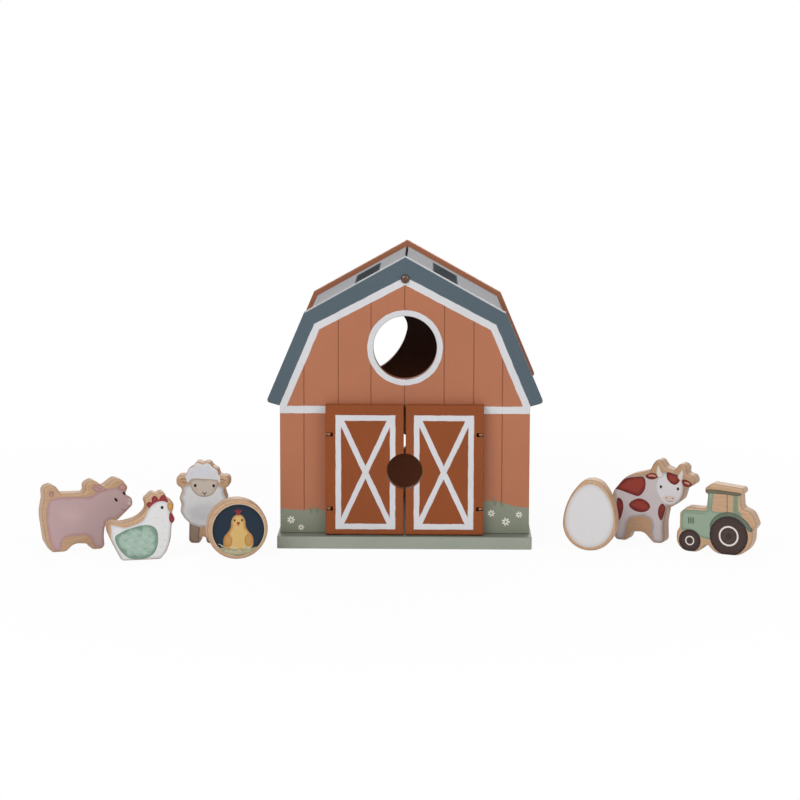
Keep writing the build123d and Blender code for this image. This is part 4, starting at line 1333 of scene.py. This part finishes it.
cow = {
    "inks": {
        "cowWhite": ((194, 185, 186), (162, 150, 151), 3.0, 0.6),
        "cowPatch": ((142, 59, 49), (106, 37, 33), 3.6, 0.9, 8.0, 0.2),
        "cowMuzzle": ((208, 192, 184), "cowHead", 2.2),
        "cowHorn": ((212, 206, 204), (188, 170, 148), 0.9),
        "cowLine": ((134, 92, 84),),
        "cowEar": ((214, 176, 164), (190, 128, 114), 0.7),
        "cowHead": ((212, 209, 212), (190, 184, 188), 2.2),
    },
    "body": [
        (-34.6, 43.0), (-31.4, 48.0), (-27.0, 51.4), (-20.0, 54.0), (-12.0, 55.4), (-6.0, 56.4), (0.0, 57.4),
        (4.0, 58.8), (8.6, 59.8), (14.0, 59.6), (19.6, 58.8), (23.4, 56.4), (24.4, 51.6), (24.2, 46.0), (23.0, 40.6),
        (21.2, 36.4), (17.4, 33.6), (12.6, 32.6), (10.2, 29.0), (8.8, 23.0), (8.0, 16.0), (7.8, 9.3), (7.6, 2.6),
        (4.4, 1.2), (0.4, 1.8), (-2.0, 8.0), (-1.6, 14.8), (-4.0, 19.8), (-9.0, 21.4), (-15.6, 21.0), (-20.8, 18.8),
        (-23.0, 14.4), (-24.2, 8.4), (-25.4, 2.6), (-28.8, 1.2), (-32.4, 2.2), (-32.4, 9.0), (-31.2, 16.0),
        (-31.4, 24.0), (-33.2, 32.4)],
    "headShape": [
        (1.6, 52.6), (0.9, 47.2), (2.4, 41.4), (6.0, 36.4), (9.4, 33.8), (13.4, 33.0), (17.6, 33.8), (21.2, 37.0),
        (23.8, 42.4), (24.3, 47.6), (23.6, 53.0), (20.4, 57.4), (13.4, 59.4), (6.0, 57.6)],
    "patches": [
        [(-34.0, 43.2), (-30.0, 48.6), (-23.6, 52.4), (-16.0, 54.0), (-9.4, 54.2), (-7.6, 48.8), (-9.0, 42.6),
         (-13.6, 38.2), (-20.6, 39.4), (-28.4, 41.6)],
        [(-20.0, 33.0), (-13.6, 36.2), (-7.0, 34.8), (-3.4, 30.4), (-6.2, 26.2), (-12.6, 24.8), (-18.6, 26.6),
         (-21.6, 29.6)],
        [(-31.8, 35.2), (-28.2, 34.0), (-26.6, 28.6), (-27.8, 21.4), (-30.2, 16.6), (-31.0, 22.8), (-32.4, 29.8)],
        [(6.8, 33.6), (9.6, 31.0), (8.4, 24.0), (6.2, 19.4), (3.6, 23.8), (4.0, 29.8)],
        [(10.6, 59.6), (15.6, 59.2), (20.6, 57.4), (21.6, 53.6), (18.4, 50.2), (14.4, 50.8), (10.8, 54.6)]],
}


def printCow():
    block = readBlock("cow")
    white, rust, muzzle, horn, line, inner, head = mixInks(cow["inks"])
    addForm(block, cow["body"], white, 1)
    for corners in (
            [(2.0, 56.4), (1.5, 60.8), (2.9, 65.2), (4.4, 63.2), (5.6, 60.0), (7.6, 57.0), (4.8, 54.6)],
            [(19.8, 56.4), (21.4, 60.0), (23.8, 63.8), (24.6, 60.6), (24.3, 57.2), (23.2, 53.6)]):
        addForm(block, corners, horn, 4)
    addForm(block, cow["headShape"], head, 2)
    addForm(block, [(-7.8, 55.4), (-3.4, 58.2), (1.4, 57.6), (3.0, 55.2), (-1.0, 53.0), (-5.6, 53.2)], rust, 3)
    addStroke(block, [(-5.4, 55.8), (-1.8, 56.3), (1.0, 55.6)], 1.5, inner, 4)
    addForm(block, [(23.4, 54.2), (27.2, 54.8), (31.8, 51.8), (29.6, 49.2), (25.0, 49.6)], rust, 3)
    addStroke(block, [(25.6, 52.5), (28.2, 52.2), (30.2, 51.0)], 1.4, inner, 4)
    for patch in cow["patches"]:
        addForm(block, patch, rust, 3)
    addForm(block, [
        (5.8, 38.8), (8.6, 41.0), (13.2, 41.8), (17.8, 41.0), (20.4, 38.4), (18.0, 35.4), (13.2, 34.0),
        (8.4, 35.2)], muzzle, 4)
    addPatch(block, oval(10.6, 38.6, 0.5, 0.75, 14, 14), line, 5)
    addPatch(block, oval(16.0, 38.6, 0.5, 0.75, -14, 14), line, 5)
    addPatch(block, oval(5.6, 47.4, 1.05, 1.35, 0, 18), darkInk, 4)
    addPatch(block, oval(20.2, 46.8, 1.05, 1.35, 0, 18), darkInk, 4)
    addStroke(block, [(10.4, 36.4), (13.2, 35.6), (16.2, 36.4)], 0.45, line, 5)
    finishBlock(block)


# Tractor

tractor = {
    "inks": {
        "tractorGreen": ((143, 161, 141), (124, 142, 122), 3.0, 0.6),
        "tractorPillar": ((130, 136, 112), "tractorGreen", 1.2),
        "tractorFender": ((104, 116, 101), (84, 94, 82), 1.6),
        "tractorTyre": ((68, 53, 50), (48, 37, 36), 3.5),
        "wheelBolt": ((60, 47, 45),),
        "wheelHub": ((76, 61, 57), "tractorTyre", 2.4),
        "wheelRing": ((226, 218, 212), (206, 196, 188)),
        "roofOlive": ((110, 106, 86), (78, 76, 62), 1.0),
        "tractorLine": ((76, 82, 70),),
        "cabLine": ((110, 106, 86),),
        "bonnetSeam": ((116, 132, 113),),
    },
    # wheels: across, up and radius; reach and width of the pale ring; number of treads
    "bigWheel": (11.0, 15.7, 16.0, 7.6, 1.45, 24),
    "smallWheel": (-21.6, 9.2, 9.2, 3.4, 1.0, 15),
}


def addWheel(block, wheel, tyre, bolt, hub, ring):
    x, z, radius, ringReach, ringWidth, treads = wheel
    addPatch(block, oval(x, z, radius, radius, 0, 72), tyre, 3)
    for index in range(treads):
        a = 2 * pi * index / treads
        inner, outer = radius * 0.80, radius * 0.95
        addStroke(block, [
            (x + inner * cos(a), z + inner * sin(a)),
            (x + (inner + outer) / 2 * cos(a + 0.05), z + (inner + outer) / 2 * sin(a + 0.05)),
            (x + outer * cos(a + 0.14), z + outer * sin(a + 0.14))], radius * 0.06, hub, 4, 0.3)
    addPatch(block, oval(x, z, ringReach + ringWidth / 2, ringReach + ringWidth / 2, 0, 56), ring, 5)
    addPatch(block, oval(x, z, ringReach - ringWidth / 2, ringReach - ringWidth / 2, 0, 48), hub, 6)
    addPatch(block, oval(x, z, ringReach * 0.34, ringReach * 0.34, 0, 28), bolt, 7)
    for index in range(5):
        a = 2 * pi * index / 5 + 0.3
        addPatch(block, oval(x + ringReach * 0.6 * cos(a), z + ringReach * 0.6 * sin(a),
                             ringReach * 0.09, ringReach * 0.09, 0, 12), bolt, 7)


def printTractor():
    block = readBlock("tractor")
    green, pillar, fender, tyre, bolt, hub, ring, olive, line, oliveLine, seam = mixInks(tractor["inks"])
    addForm(block, [
        (-28.6, 31.6), (-26.0, 34.2), (-17.0, 34.6), (-9.6, 34.8), (-7.2, 36.0), (-7.0, 42.0), (-6.8, 49.6),
        (-2.8, 50.2), (-3.0, 42.0), (-3.2, 35.6), (2.0, 34.6), (9.6, 34.8), (15.6, 35.2), (20.0, 35.6),
        (21.0, 30.0), (16.0, 20.0), (0.0, 12.0), (-12.0, 12.6), (-18.0, 16.6), (-24.0, 17.8), (-28.8, 17.4),
        (-29.0, 24.0)], green, 1)
    addPatch(block, [(18.8, 35.0), (18.4, 49.8), (13.8, 50.2), (13.6, 35.0)], pillar, 1)
    addStroke(block, [(9.2, 35.0), (9.1, 42.0), (9.0, 50.0)], 0.7, oliveLine, 1, 0.1)
    addForm(block, [
        (-4.8, 24.4), (-1.6, 30.0), (3.6, 33.6), (10.6, 35.2), (18.0, 33.8), (24.8, 29.6), (29.6, 24.2),
        (31.4, 20.6), (28.0, 20.8), (24.0, 24.6), (18.0, 30.0), (10.6, 31.4), (3.6, 29.2), (-1.6, 23.6),
        (-4.2, 19.2)], fender, 2)
    addForm(block, [
        (-8.6, 49.6), (-8.8, 51.6), (-6.0, 52.5), (6.0, 52.2), (16.0, 51.6), (20.2, 51.2), (20.6, 49.9),
        (18.6, 48.9), (6.0, 49.3), (-6.0, 49.3)], olive, 2)
    for wheel in ("bigWheel", "smallWheel"):
        addWheel(block, tractor[wheel], tyre, bolt, hub, ring)
    for index in range(4):
        x = -23.0 + index * 1.4
        addStroke(block, [(x, 23.2), (x + 0.1, 25.8), (x, 28.4)], 0.75, line, 3, 0.3)
    addStroke(block, [(-25.4, 31.6), (-17.0, 32.0), (-8.6, 31.8)], 0.4, seam, 3)
    finishBlock(block)


for printBlock in (printPig, printHen, printSheep, printChick, printEgg, printCow, printTractor):
    printBlock()
print("blocks printed")
